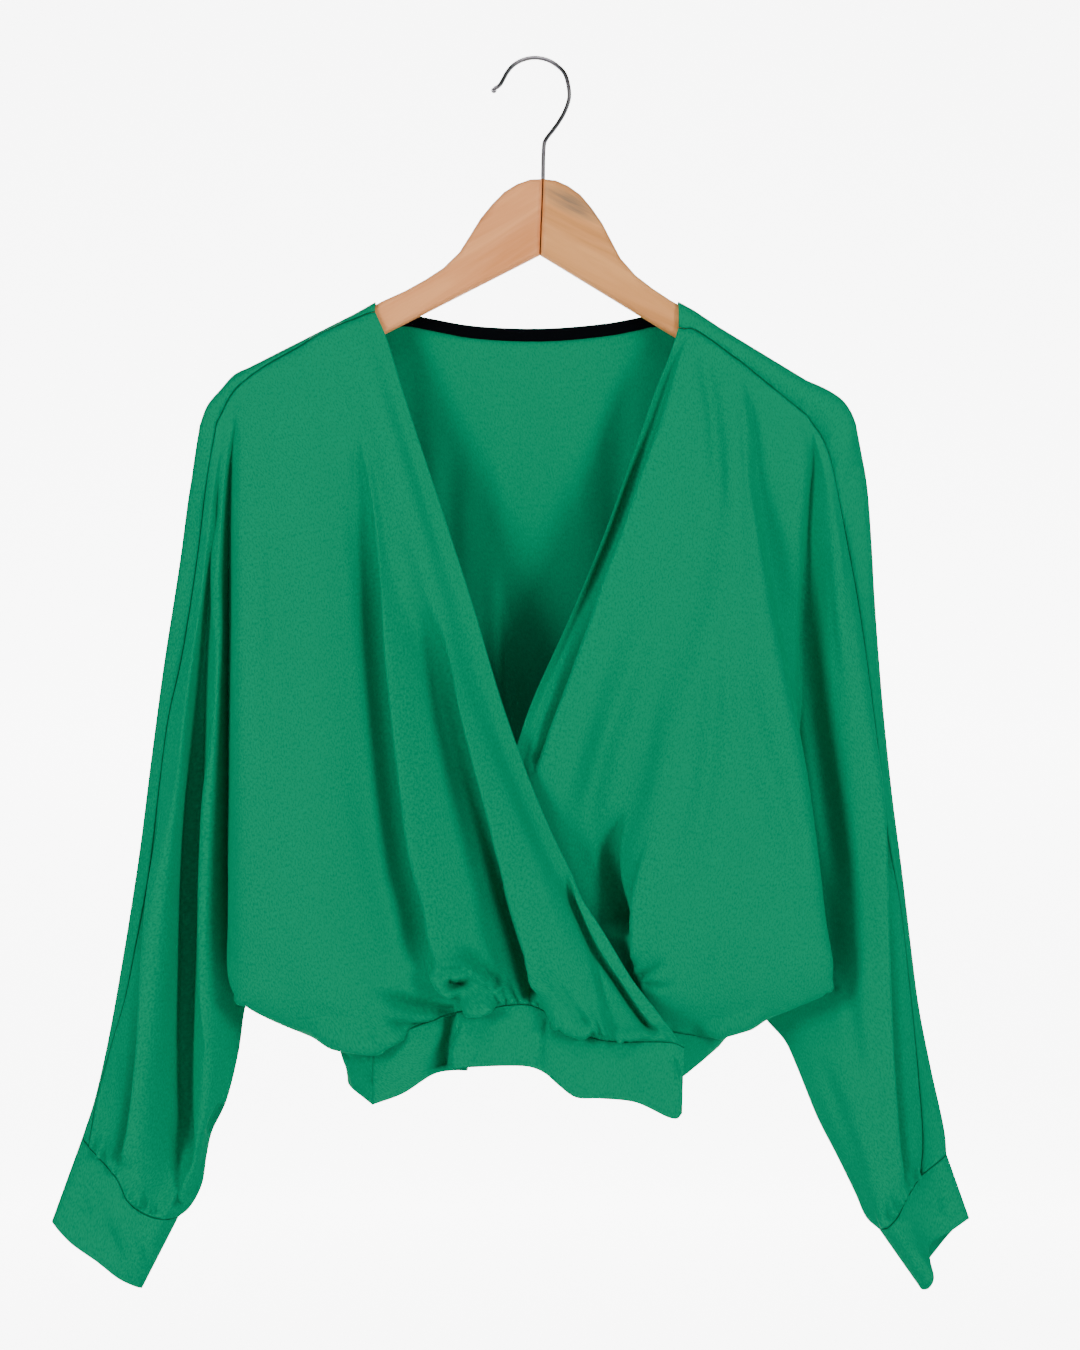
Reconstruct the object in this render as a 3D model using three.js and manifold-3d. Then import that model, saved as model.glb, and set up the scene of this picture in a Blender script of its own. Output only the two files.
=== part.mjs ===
// Wrap top on a wooden hanger, in millimetres. The origin is the inside top of the hook's crown,
// across (+X) is the viewer's right, front is -Y, up is +Z.
// In the tables a place is [across, drop, front]: drop below the origin, front of the hanger's middle.
import * as THREE from 'three';
import Module from 'manifold-3d';
import { mergeVertices } from 'three/addons/utils/BufferGeometryUtils.js';

const CLOTH = 1.5;
const BINDING = 1;
const BINDING_WIDTH = 7.5;
const SEAM_GAP = 0.32;
const BACK_LEVEL = 16;
const FOLD_LEAN = 0.5;
const SHARP_LEAN = 0.95;
const SHARP_FROM = 0.9;
const SHARP_TO = 1.3;
const BODY_ROWS = 18;
const SLEEVE_ROWS = 7;
const BETWEEN = 2;

const HANGER_THICK = 12;
const HANGER_TILT = 2.2;
const HANGER_JOINT = [6, 84.1];
const ARM_LOWER_START = 54;
const ARM_SLOPE = 0.557;
const ARM_ROUND = 5;
const WIRE_RADIUS = 1.5;
const STEM_HOLE_RADIUS = 1.85;

// Top edge of one half of the hanger: out from the joint, drop below the joint's top.
const ARM_TOP = [
  [0, 0], [9, 0.7], [18, 4.2], [27, 10.2], [35, 19], [43, 29.6], [50, 42], [57, 54],
  [68, 65.5], [80, 74], [94, 82.5], [110, 90.5], [128, 101.6], [209, 146.7],
];
// The square-cut end of an arm below its top edge.
const ARM_END = [[223, 168], [221, 177]];

// The wire from its end in the wood, up the stem and round the crown to its tip.
const HOOK_PATH = [
  [6, 108], [6, 84], [6.7, 60.8], [7.4, 57.3], [15.2, 46.7], [20.8, 37.6], [24, 29.1], [24.6, 23.9],
  [21.5, 10], [15.5, 3.7], [8.8, 0], [0, -1.5], [-8.1, 0], [-14.8, 3.7], [-19.4, 9], [-21.9, 13.6],
  [-25, 18.5], [-28.4, 20.2],
];
const HOOK_BALL = [-28.6, 21.6];

// Folds of the front over, from its wrap edge to the dip between body and sleeve.
const OVER_FOLDS = {
  wrapEdge: [
    [-112, 178.5, 8.2], [-104.7, 194.8, 9], [-92, 235.7, 10], [-68.7, 306.2, 13], [-45.4, 377.4, 17],
    [-20, 460.6, 24], [6, 529.7, 30], [36.3, 591, 36], [68, 643.9, 40], [91.3, 674.9, 42], [104, 692, 42],
  ],
  strapLine: [
    [-118, 180, 8.2], [-111, 194.8, 8], [-99.5, 235.7, 9], [-77, 306.2, 12], [-54, 377.4, 16],
    [-29, 460.6, 23], [-3.5, 529.7, 29], [24, 583, 34], [52, 634, 37], [79, 671, 38], [97, 689, 40],
  ],
  thirdFold: [
    [-125, 183, 8.2], [-96.2, 275.2, 15], [-66.6, 377.4, 21], [-39.8, 460.6, 30],
    [-14.5, 529.7, 38], [9.5, 592.4, 45], [26.4, 634.7, 47], [41, 680, 46], [43, 686, 40],
  ],
  secondRidge: [
    [-134, 186.3, 8.2], [-106.1, 275.2, 15], [-80.7, 377.4, 20], [-60.3, 424.6, 27],
    [-41.3, 500.8, 36], [-24.4, 564.2, 42], [-8.2, 621.3, 46], [9, 664, 44], [14, 671, 38],
  ],
  secondDip: [
    [-143, 190.3, 8.2], [-114.5, 275.2, 12], [-92, 377.4, 15], [-73, 417.6, 16],
    [-57.5, 475.4, 20], [-39.8, 532.5, 25], [-23.6, 583.2, 30], [-10.2, 627.7, 33], [-3.2, 663, 37],
  ],
  firstRidge: [
    [-153, 195, 8.2], [-121.6, 275.2, 14], [-104.7, 377.4, 20], [-99, 432.4, 25],
    [-92.7, 489.5, 30], [-81.4, 564.2, 36], [-73.7, 606.5, 40], [-62, 648, 42], [-38.4, 666, 37],
  ],
  firstDip: [
    [-163, 201.6, 8.2], [-128.7, 275.2, 11], [-113.2, 367.5, 13], [-106.8, 432.4, 17],
    [-100.5, 489.5, 21], [-90.6, 564.2, 26], [-82.1, 603, 30], [-73, 645, 33], [-56, 669, 34],
  ],
  broadPanel: [
    [-176, 209, 8.2], [-158.3, 275.2, 13], [-154.8, 377.4, 21], [-151.2, 489.5, 30],
    [-147.7, 578.3, 36], [-140.6, 634.7, 40], [-124, 684, 36], [-117, 692, 30], [-113, 689, 24],
  ],
  outerPanel: [
    [-185, 214, 8.2], [-182.9, 275.2, 12], [-182.9, 377.4, 20], [-182.9, 489.5, 28],
    [-180.8, 578.3, 33], [-176, 634.7, 34], [-156, 682, 24], [-146, 689.5, 14], [-140.6, 690, 2],
  ],
  sideEdge: [
    [-193, 219, 8.2], [-204.1, 275.2, 12], [-206.5, 377.4, 18], [-207, 489.5, 22],
    [-207.5, 578.3, 24], [-209, 634.7, 22], [-209.5, 656, 19], [-202, 666, 14], [-176, 678, 7],
    [-156, 681, 0],
  ],
  sleeveDip: [
    [-201.3, 225.1, 8.2], [-208, 250, 8.2], [-212, 270, 6], [-214.6, 296.3, 1], [-216.1, 380.9, -7],
    [-216.5, 489.5, -8], [-216.5, 578.3, -8], [-212, 622, -8], [-200, 652, -9.8],
  ],
};

// Folds of the front under, from its neck edge to the dip between body and sleeve.
const UNDER_FOLDS = {
  neckEdge: [
    [101.2, 189.6, 8.2], [96.2, 205.4, 8.5], [84.2, 236.4, 9], [65.9, 288.6, 10], [47.6, 338.6, 11],
    [23.6, 396.4, 14], [-1, 450.7, 17], [-10.9, 478.2, 18], [-31.4, 543, 18], [-59.6, 606.5, 19],
    [-84.2, 660, 21],
  ],
  rolledDip: [
    [106, 190.4, 8.2], [93.4, 229.3, 6.5], [81.4, 264.6, 7], [67.3, 303.4, 7], [53.2, 340, 8],
    [30.7, 391.5, 10], [7.4, 444.4, 13], [-6.7, 492.3, 16], [-24.3, 550.1, 18], [-52.5, 610, 20],
    [-73.7, 661, 21],
  ],
  rolledRidge: [
    [111, 190.5, 8.2], [102.6, 211.7, 10.5], [88.5, 256.1, 13], [75.1, 291.4, 14.5], [59.6, 338.6, 17],
    [39.1, 396.4, 19], [19.4, 450.7, 20], [-2.5, 506.4, 20], [-17.3, 557.2, 20], [-38.4, 613.5, 22],
    [-52.5, 662, 23],
  ],
  softDip: [
    [125.1, 199, 8.2], [125.1, 239.9, 9.5], [128.7, 281.5, 12], [109.6, 380.9, 17], [74.4, 479.6, 20],
    [55, 564.2, 22], [58, 613.5, 20], [64, 645, 22], [70.8, 674, 26],
  ],
  softRidge: [
    [133.6, 205.3, 8.2], [137.8, 261, 13], [132.2, 352.7, 20], [109.6, 451.4, 28], [81.4, 536, 33],
    [71.6, 583.2, 34], [69.4, 613.5, 34], [76, 650, 34], [85, 680, 27],
  ],
  broadPanel: [
    [140.5, 210.5, 8.2], [144, 261, 13], [144.5, 352.7, 21], [141.3, 451.4, 29], [132, 536, 34],
    [128, 613.5, 36], [133, 655, 28], [138, 675, 17], [136.4, 687.6, 2],
  ],
  sideEdge: [
    [146.3, 214.5, 8.2], [147.7, 256.1, 12], [149.8, 293.5, 16], [155.5, 331.6, 20],
    [162.5, 380.9, 24], [173.8, 438.7, 28], [185.8, 495.8, 30], [194.2, 553.6, 31], [201.3, 605.1, 30],
    [207.5, 640, 26], [204, 656, 20], [190, 663.5, 17], [168, 673, 11], [142, 682, 2],
  ],
  behindEdge: [
    [154, 220.9, 8.2], [154.8, 261, 8], [161.8, 331.6, 8], [170.3, 380.9, 9], [180.1, 438.7, 10],
    [189.3, 495.8, 11], [195.6, 553.6, 12], [198, 605, 12], [199, 640, 11], [190, 652, 9],
    [170, 662, 5], [146, 676, -1],
  ],
  hiddenRidge: [
    [173.1, 236.4, 8.2], [187.9, 268.8, 9], [186.5, 331.6, 5], [184.4, 380.9, 3], [184.4, 438.7, 2],
    [183.7, 495.8, 2], [178.8, 553.6, 3], [175, 605, 4], [170, 640, 3], [150, 667, -4],
  ],
  sleeveDip: [
    [191.4, 251.2, 8.2], [195.5, 264, 8], [197, 278, 4], [194, 306.2, -1], [191, 380.9, -6], [185, 495.8, -8],
    [174, 557, -7], [160, 613.5, -6], [155.5, 656, -9.8],
  ],
};

// Folds of the front of the left sleeve, from the underarm to the overarm seam.
const LEFT_SLEEVE = {
  underarm: [
    [-200, 652, -9.8], [-205, 669.2, -10], [-209.7, 701.7, -8], [-218.9, 737.6, -6],
    [-228.1, 756.7, -5], [-231.6, 772.9, -4], [-235.1, 794, -3], [-243.6, 809.5, -2],
    [-251.3, 815.9, -1],
  ],
  innerRidge: [
    [-205.5, 228.6, 8.2], [-214.5, 268.1, 8], [-221, 340, 9], [-222.4, 428.8, 12],
    [-226, 521.9, 10], [-229, 600, 8], [-230, 660, 8], [-231, 698.1, 8], [-234, 745, 7], [-242, 781, 7],
    [-260.5, 816.5, 7],
  ],
  deepDip: [
    [-210.4, 233.6, 8.2], [-216.5, 262, 8], [-222.5, 300, 6], [-229.5, 380.9, 0], [-235.1, 451.4, -3],
    [-236.5, 518.4, -4], [-241.5, 606.5, -5], [-244.3, 666.4, -5], [-246.5, 740.4, -4],
    [-254, 785, 0], [-272, 814, 7],
  ],
  tubeRidge: [
    [-215.5, 241.3, 8.2], [-225.5, 303.3, 8], [-234.5, 380.9, 8], [-244.3, 451.4, 12],
    [-251.3, 518.4, 15], [-258.4, 577.6, 17], [-264, 627.6, 17], [-269.7, 698.1, 16],
    [-274, 754.5, 14], [-284.5, 805, 8],
  ],
  tubeEdge: [
    [-219.5, 249.8, 8.2], [-228.7, 310.4, 7], [-237, 380.9, 6], [-248, 445, 7], [-257, 518, 9],
    [-265.5, 577.6, 11], [-272, 627.6, 11], [-280, 698.1, 11], [-286, 754.5, 10], [-294.5, 787, 6],
  ],
  overarm: [
    [-223.1, 256.1, 7.5], [-229.5, 291.4, 5], [-237.2, 352, 3], [-248.5, 423.2, 2],
    [-257.7, 464.8, 2], [-264.7, 518.4, 2], [-271.1, 571.3, 1], [-280.9, 624.9, 0],
    [-288.7, 663.6, -1], [-299.3, 698.9, -1], [-309.1, 734.8, -1], [-314.1, 766.5, -1],
  ],
};

// Folds of the front of the right sleeve, from the underarm to the overarm seam.
const RIGHT_SLEEVE = {
  underarm: [
    [155.5, 656, -9.8], [161.8, 674.2, -10], [177.3, 692.5, -9], [185.1, 709.4, -8], [192.1, 727, -5],
    [199.9, 746.1, -4], [214.7, 775, -4], [226.7, 799.7, -3], [234.4, 816.6, -2], [243.6, 825, -1],
  ],
  innerRidge: [
    [196, 258, 8.2], [205.5, 306.2, 8], [206.9, 380.9, 7], [206.5, 495.8, 3], [206.5, 578.3, -3],
    [207.5, 634.7, -3], [209.7, 677, 3], [216.8, 719.3, 10], [228.1, 761.6, 11], [239, 796.8, 11],
    [249.2, 821.5, 8],
  ],
  middle: [
    [201, 265, 8.2], [212, 330, 9], [219, 410, 11], [224, 500, 12], [229, 592.4, 13],
    [233, 662.9, 13], [238.2, 719.3, 13], [246, 768.7, 13], [254.6, 815.2, 9],
  ],
  tubeRidge: [
    [206, 276, 8], [214, 331.5, 8], [222.4, 380.9, 9], [230.9, 438.7, 10], [237.9, 495.8, 11],
    [242.9, 545.1, 12], [247.8, 592.4, 13], [249.2, 639.6, 12], [251.3, 711.6, 11],
    [256.3, 772.2, 9], [262, 801.8, 6],
  ],
  overarm: [
    [210.4, 291.3, 7], [218.2, 331.5, 5], [227.4, 380.9, 4], [235.8, 438.7, 4], [242.9, 495.8, 4],
    [248.5, 545.1, 3], [257.7, 596.7, 0], [264.7, 654.5, -2], [270.4, 711.6, -3],
    [273.9, 765, -3], [271.8, 787.7, -2],
  ],
};

// The silhouette past the arm's end: where the back comes round to the front.
const LEFT_OUTLINE = [
  [-235.6, 258, 0], [-239.3, 278.7, -1], [-241.5, 293.5, -2], [-244.3, 310.4, -3], [-249.9, 352, -4],
  [-261.9, 428.9, -5], [-270.7, 494.4, -5], [-279.5, 562.8, -6], [-292.9, 646, -7],
  [-302.1, 696.1, -7], [-311, 734.8, -7], [-319.5, 760.9, -7],
];
const RIGHT_OUTLINE = [
  [221.9, 257, 0], [230.9, 278.6, -1], [234.5, 299.8, -2], [238, 344.2, -3], [240.1, 380.9, -4],
  [245.7, 452.8, -5], [252.7, 519.1, -6], [259.1, 567.7, -7], [266.1, 625.5, -8],
  [271.8, 668.5, -9], [280.2, 711.6, -9], [290.1, 758.1, -9], [291.2, 773, -8],
];
const LEFT_TIP_OUTLINE = [[-205.5, 218], [-211.1, 222.3], [-220.3, 232.2], [-230.2, 244.1], [-235.6, 258]];
const RIGHT_TIP_OUTLINE = [[199, 230], [204.1, 232.2], [214.7, 239.9], [219.5, 248], [221.9, 257]];

const LEFT_BACK_DIP = [
  [-212, 300, -15], [-212, 400, -17], [-213, 520, -18], [-210, 615, -19], [-200, 652, -12.2],
];
const RIGHT_BACK_DIP = [
  [191, 320, -15], [186, 420, -17], [180, 520, -18], [165, 615, -17], [158, 640, -14], [155.5, 656, -12.2],
];
const BACK_NECK = [
  [-94, 178, -9], [-75, 181, -9.5], [-45, 186.3, -10], [5, 188.4, -10], [52.5, 184.5, -10],
  [72, 181, -9.5], [88, 178, -9],
];
const BACK_WAIST = [
  [-140.6, 690, 2], [-137, 686, -6], [-124, 679, -13], [-90, 668, -21], [-20, 660, -26],
  [50, 661, -26], [100, 670, -20], [125, 681, -11], [134, 686, -4], [136.4, 687.6, 2],
];
// Soft folds down the back: across at the shoulder and at the waist, half width, height outwards.
const BACK_FOLDS = [
  { name: 'left shoulder', top: -150, waist: -112, width: 17, height: 7 },
  { name: 'left blade', top: -92, waist: -62, width: 15, height: 5 },
  { name: 'centre', top: -24, waist: -22, width: 13, height: -6 },
  { name: 'right blade', top: 66, waist: 40, width: 16, height: 5 },
  { name: 'right shoulder', top: 130, waist: 92, width: 18, height: 7 },
];

const BAND_OVER_HEM = [
  [102.5, 738, 40], [99, 741.5, 42], [94, 741, 43], [70, 730, 45], [45, 727.2, 46], [28.6, 726.5, 45],
  [17, 718.5, 42], [8, 711, 38], [-2, 706.6, 37], [-20, 705.2, 40], [-58.1, 707.7, 37], [-46, 709, 30],
  [-68, 711.5, 27], [-92, 726, 28], [-113, 734, 25],
];
const BAND_UNDER_HEM = [
  [-82, 698, 20], [-78, 698, 20.5], [-74, 698.5, 21], [-64, 698, 22], [-54, 697, 23], [-2, 697, 25],
  [60, 716, 27], [80, 724, 27], [98, 718, 24], [114, 708, 11], [130, 696, -3],
];
const BAND_BACK_HEM = [
  [-113, 734, 25], [-131, 721, 4], [-128, 715, -10], [-84, 707, -22], [-20, 701, -27], [40, 702, -27],
  [90, 706, -20], [118, 704, -12], [130, 696, -3],
];

// Cuff hems all round: inner corner, along the front, outer corner, along the back.
const LEFT_CUFF_HEM = [
  [-277, 866, 0], [-291, 859, 9], [-307, 846, 12], [-327, 832, 10], [-340, 819, 1],
  [-329, 827, -12], [-308, 842, -17], [-290, 855, -12],
];
const RIGHT_CUFF_HEM = [
  [272.5, 866, 4], [277, 865, 9], [280.5, 858, 12], [278.5, 846, 6], [279, 836, -2], [293, 828, -6],
  [308, 819, -12], [298, 828, -20], [284, 845, -22], [273, 857, -12],
];

const place = ([across, drop, front]) => new THREE.Vector3(across, -front, -drop);

// Evenly spaced places along the smooth line through one table's stations.
function smoothLine(stations, spans) {
  const curve = new THREE.CatmullRomCurve3(stations.map(place), false, 'centripetal');
  return curve.getSpacedPoints(spans);
}

// Rows across a set of fold lines, with columns added between them.
function acrossLines(lines, between) {
  const columns = (lines.length - 1) * between;
  return lines[0].map((_, row) => {
    const curve = new THREE.CatmullRomCurve3(lines.map((line) => line[row]), false, 'centripetal');
    return Array.from({ length: columns + 1 }, (__, column) => curve.getPoint(column / columns));
  });
}

const columnOf = (grid, column) => grid.map((row) => row[column]);

// One front of the body, its rows going from shoulder to waist.
function bodyFront(folds) {
  const lines = Object.values(folds).map((stations) => smoothLine(stations, BODY_ROWS));
  return acrossLines(lines, BETWEEN);
}

// The front of a sleeve starts at the dip it shares with the body and goes on down the underarm.
function sleeveFront(folds, dip) {
  const rows = BODY_ROWS + SLEEVE_ROWS;
  const { underarm, ...others } = folds;
  const inner = [...dip, ...smoothLine(underarm, SLEEVE_ROWS).slice(1)];
  const lines = [inner, ...Object.values(others).map((stations) => smoothLine(stations, rows))];
  return acrossLines(lines, BETWEEN);
}

// The drop of the hanger's top edge at one place across.
function armTopDrop(across) {
  const tilt = THREE.MathUtils.degToRad(HANGER_TILT);
  const side = Math.sign(across - HANGER_JOINT[0]);
  const points = ARM_TOP.map(([out, drop]) => [
    HANGER_JOINT[0] + side * out * Math.cos(tilt) - drop * Math.sin(tilt),
    HANGER_JOINT[1] + side * out * Math.sin(tilt) + drop * Math.cos(tilt),
  ]);
  const next = points.findIndex(([x]) => side * (x - across) > 0);
  const [x0, d0] = points[next - 1];
  const [x1, d1] = points[next];
  return d0 + ((d1 - d0) * (across - x0)) / (x1 - x0);
}

// The highest line of the cloth over one seam place: on the arm, or round its tip.
function topOver(seamPoint, tipLine, tipFraction) {
  if (tipFraction > 0) {
    const points = tipLine.map(([across, drop]) => new THREE.Vector3(across, 0, -drop));
    return new THREE.CatmullRomCurve3(points, false, 'centripetal').getPoint(tipFraction);
  }
  return new THREE.Vector3(seamPoint.x, 0, -armTopDrop(seamPoint.x) + 1.5);
}

// The back's part from the forward seam over the arm and down behind it.
function shoulderCap(seam, bodyColumns, tipLine) {
  const sleeveColumns = seam.length - 1 - bodyColumns;
  const steps = [[7.4, 2.4], [2.8, 0], [-2.8, 0], [-7.4, 2.4], [-8.6, 10]];
  const rings = seam.map((point, column) => {
    const top = topOver(point, tipLine, Math.max(0, (column - bodyColumns) / sleeveColumns));
    const inwards = new THREE.Vector3(point.x - top.x, 0, point.z - top.z).normalize();
    const over = steps.map(([front, down]) => {
      const spot = top.clone().addScaledVector(inwards, down);
      spot.y = -front;
      return spot;
    });
    return [point, ...over];
  });
  return rings[0].map((_, row) => rings.map((ring) => ring[row]));
}

// The back's part round the outside of a sleeve, from the overarm seam to behind.
function sleeveWrap(overarm, outline, capEnd, inwards) {
  const outer = smoothLine(outline, overarm.length - 1);
  return overarm.map((point, row) => {
    if (row === 0) {
      return capEnd;
    }
    const edge = outer[row];
    const behind = new THREE.Vector3(edge.x + inwards * 9, edge.y + 10, edge.z + 1);
    const inside = new THREE.Vector3(edge.x + inwards * 1.5, edge.y + 4.5, edge.z);
    const curve = new THREE.CatmullRomCurve3([point, edge, inside, behind], false, 'centripetal');
    return Array.from({ length: capEnd.length }, (_, step) => curve.getPoint(step / (capEnd.length - 1)));
  });
}

// The back of a sleeve, from behind its outer edge to the dip and underarm it shares.
function sleeveBack(outer, inner, topRow) {
  const columns = topRow.length - 1;
  const swell = [0, 9, 14, 8, 11, 15, 12, 6, 0];
  return outer.map((from, row) => {
    if (row === 0) {
      return topRow;
    }
    const amount = Math.min(1, row / 5) * (1 - 0.55 * (row / (outer.length - 1)) ** 3);
    return Array.from({ length: columns + 1 }, (_, column) => {
      const part = column / columns;
      const spot = from.clone().lerp(inner[row], part);
      const at = part * (swell.length - 1);
      const low = Math.floor(Math.min(at, swell.length - 2));
      spot.y += amount * THREE.MathUtils.lerp(swell[low], swell[low + 1], at - low);
      return spot;
    });
  });
}

// How far the back's soft folds stand out at one place: `part` goes from shoulder to waist.
function foldHeight(across, part) {
  return BACK_FOLDS.reduce((sum, fold) => {
    const middle = THREE.MathUtils.lerp(fold.top, fold.waist, part);
    const away = Math.abs(across - middle) / fold.width;
    const bump = away < 1 ? Math.cos((away * Math.PI) / 2) ** 2 : 0;
    return sum + fold.height * bump;
  }, 0);
}

// The back between its two dips: straight lines from shoulder and neck to waist, swelled and folded.
function bodyBack(topRow, bottomRow, leftDip, rightDip) {
  const last = topRow.length - 1;
  return leftDip.map((_, row) => {
    const part = row / (leftDip.length - 1);
    if (row === 0) {
      return topRow;
    }
    return topRow.map((top, column) => {
      if (column === 0) {
        return leftDip[row];
      }
      if (column === last) {
        return rightDip[row];
      }
      const bottom = bottomRow[column];
      const spot = top.clone().lerp(bottom, part);
      const level = Math.max(bottom.y, BACK_LEVEL);
      spot.y = THREE.MathUtils.lerp(top.y, level, part) + (bottom.y - level) * part ** 18;
      const [side, dip] = column < last / 2 ? [0, leftDip] : [last, rightDip];
      const fromSide = Math.abs(column - side);
      const hold = Math.max(0, 1 - fromSide / 7) ** 2;
      const straightDip = topRow[side].clone().lerp(dip[dip.length - 1], part);
      spot.add(dip[row].clone().sub(straightDip).multiplyScalar(hold));
      const swell = Math.sin(Math.PI * part) * Math.min(1, fromSide / 3);
      const foldsHold = Math.sin(Math.PI * Math.min(1, part * 1.02));
      spot.y += swell * (10 + 5 * part) + foldsHold * foldHeight(spot.x, part);
      return spot;
    });
  });
}

// A length of the waistband, from the gathered edge that it is sewn to down to its own hem.
function band(topRow, hem) {
  return [0, 1 / 3, 2 / 3, 1].map((part) => topRow.map((top, column) => top.clone().lerp(hem[column], part)));
}

// A cuff goes from the sleeve's end ring to its hem ring. Both start at the inner corner, and the
// hem's outer corner, `hemCorner` of the way round, is matched to the ring's.
function cuff(ring, hemStations, frontSpans, hemCorner) {
  const hemCurve = new THREE.CatmullRomCurve3(hemStations.map(place), true, 'centripetal');
  const hem = ring.map((_, index) => {
    const part = index <= frontSpans
      ? (hemCorner * index) / frontSpans
      : hemCorner + ((1 - hemCorner) * (index - frontSpans)) / (ring.length - frontSpans);
    return hemCurve.getPoint(part);
  });
  return [0, 0.15, 0.45, 0.75, 1].map((part) => {
    const row = ring.map((top, index) => top.clone().lerp(hem[index], part));
    return [...row, row[0]];
  });
}

const keyOf = (point) => [point.x, point.y, point.z].map((value) => Math.round(value * 1000)).join(',');

// Joins grids of one piece into vertices and triangles; `turned` grids are wound the other way.
function joinGrids(grids) {
  const vertices = [];
  const triangles = [];
  const known = new Map();
  const indexOf = (point) => {
    const key = keyOf(point);
    if (!known.has(key)) {
      known.set(key, vertices.length);
      vertices.push(point.clone());
    }
    return known.get(key);
  };
  const add = (a, b, c) => {
    if (a !== b && b !== c && a !== c) {
      triangles.push([a, b, c]);
    }
  };
  for (const { grid, turned } of grids) {
    for (let row = 0; row < grid.length - 1; row += 1) {
      for (let column = 0; column < grid[row].length - 1; column += 1) {
        const corners = [
          grid[row][column], grid[row][column + 1], grid[row + 1][column + 1], grid[row + 1][column],
        ].map(indexOf);
        const [a, b, c, d] = turned ? corners.reverse() : corners;
        const first = vertices[a].distanceToSquared(vertices[c]);
        const second = vertices[b].distanceToSquared(vertices[d]);
        if (first <= second) {
          add(a, b, c);
          add(a, c, d);
        } else {
          add(a, b, d);
          add(b, c, d);
        }
      }
    }
  }
  return { vertices, triangles };
}

// Outward directions at every place of the whole garment, so that two pieces share them at a seam.
function sharedNormals(pieces) {
  const normals = new Map();
  for (const { vertices, triangles } of pieces) {
    for (const triangle of triangles) {
      const [a, b, c] = triangle.map((index) => vertices[index]);
      const facing = b.clone().sub(a).cross(c.clone().sub(a)).normalize();
      triangle.forEach((index, corner) => {
        const here = vertices[index];
        const next = vertices[triangle[(corner + 1) % 3]].clone().sub(here);
        const before = vertices[triangle[(corner + 2) % 3]].clone().sub(here);
        const key = keyOf(here);
        const sum = normals.get(key) ?? new THREE.Vector3();
        normals.set(key, sum.addScaledVector(facing, next.angleTo(before)));
      });
    }
  }
  normals.forEach((normal) => normal.normalize());
  return normals;
}

function edgesOf(triangles) {
  const edges = new Map();
  for (const [a, b, c] of triangles) {
    for (const [from, to] of [[a, b], [b, c], [c, a]]) {
      edges.set(`${from},${to}`, [from, to]);
    }
  }
  return [...edges.values()].filter(([from, to]) => !edges.has(`${to},${from}`));
}

// A piece's edge, drawn back by half the seam gap, and which way its wall thickens there. Where its
// seam is a sharp fold the edge also leans to the piece's own side, clear of the piece it is sewn to.
function finishEdges({ vertices, triangles }, normals) {
  const own = sharedNormals([{ vertices, triangles }]);
  const border = edgesOf(triangles);
  const inward = new Map(border.map(([index]) => [index, new THREE.Vector3()]));
  const along = new Map(border.map(([index]) => [index, new THREE.Vector3()]));
  for (const triangle of triangles) {
    const corners = triangle.map((index) => vertices[index]);
    const middle = corners.reduce((sum, corner) => sum.add(corner), new THREE.Vector3()).divideScalar(3);
    for (const index of triangle) {
      inward.get(index)?.add(middle.clone().sub(vertices[index]).normalize());
    }
  }
  for (const [from, to] of border) {
    const step = vertices[to].clone().sub(vertices[from]).normalize();
    along.get(from).add(step);
    along.get(to).add(step);
  }
  return vertices.map((vertex, index) => {
    const shared = normals.get(keyOf(vertex));
    if (!inward.has(index)) {
      return { spot: vertex.clone(), normal: shared };
    }
    const mine = own.get(keyOf(vertex));
    const direction = along.get(index).normalize();
    const pull = inward.get(index);
    pull.addScaledVector(direction, -pull.dot(direction)).normalize();
    const lean = mine.clone().addScaledVector(shared, -mine.dot(shared));
    const sharp = THREE.MathUtils.smoothstep(mine.angleTo(shared), SHARP_FROM, SHARP_TO);
    const amount = -Math.sign(pull.dot(shared)) * THREE.MathUtils.lerp(FOLD_LEAN, SHARP_LEAN, sharp);
    return {
      spot: vertex.clone().addScaledVector(pull, SEAM_GAP / 2).addScaledVector(lean, amount),
      normal: shared.clone().lerp(mine, sharp).normalize(),
    };
  });
}

// A closed wall of the given thickness on both sides of a piece's middle surface. Its edge faces are
// split the same way as those of the piece it is sewn to, so that twisted ones stay clear too.
function wallOf(piece, normals, thickness) {
  const { vertices, triangles } = piece;
  const finished = finishEdges(piece, normals);
  const count = vertices.length;
  const positions = [0.5, -0.5].flatMap((side) => finished.flatMap(({ spot, normal }) => (
    spot.clone().addScaledVector(normal, side * thickness).toArray())));
  const faces = triangles.flatMap(([a, b, c]) => [a, b, c, a + count, c + count, b + count]);
  for (const [from, to] of edgesOf(triangles)) {
    if (keyOf(vertices[from]) < keyOf(vertices[to])) {
      faces.push(to, from, from + count, to, from + count, to + count);
    } else {
      faces.push(to, from, to + count, from, from + count, to + count);
    }
  }
  const geometry = new THREE.BufferGeometry();
  geometry.setAttribute('position', new THREE.Float32BufferAttribute(positions, 3));
  geometry.setIndex(faces);
  return geometry;
}

// The binding lies inside the back's neck edge: the back's own places moved out to its inner face.
function neckBinding(topRow, nextRow) {
  const inside = CLOTH / 2 + SEAM_GAP + BINDING / 2;
  return [0.04, 0.5, 1].map((part) => topRow.map((top, column) => {
    const down = nextRow[column].clone().sub(top).normalize();
    const spot = top.clone().addScaledVector(down, BINDING_WIDTH * part);
    spot.y -= inside;
    return spot;
  }));
}

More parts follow.
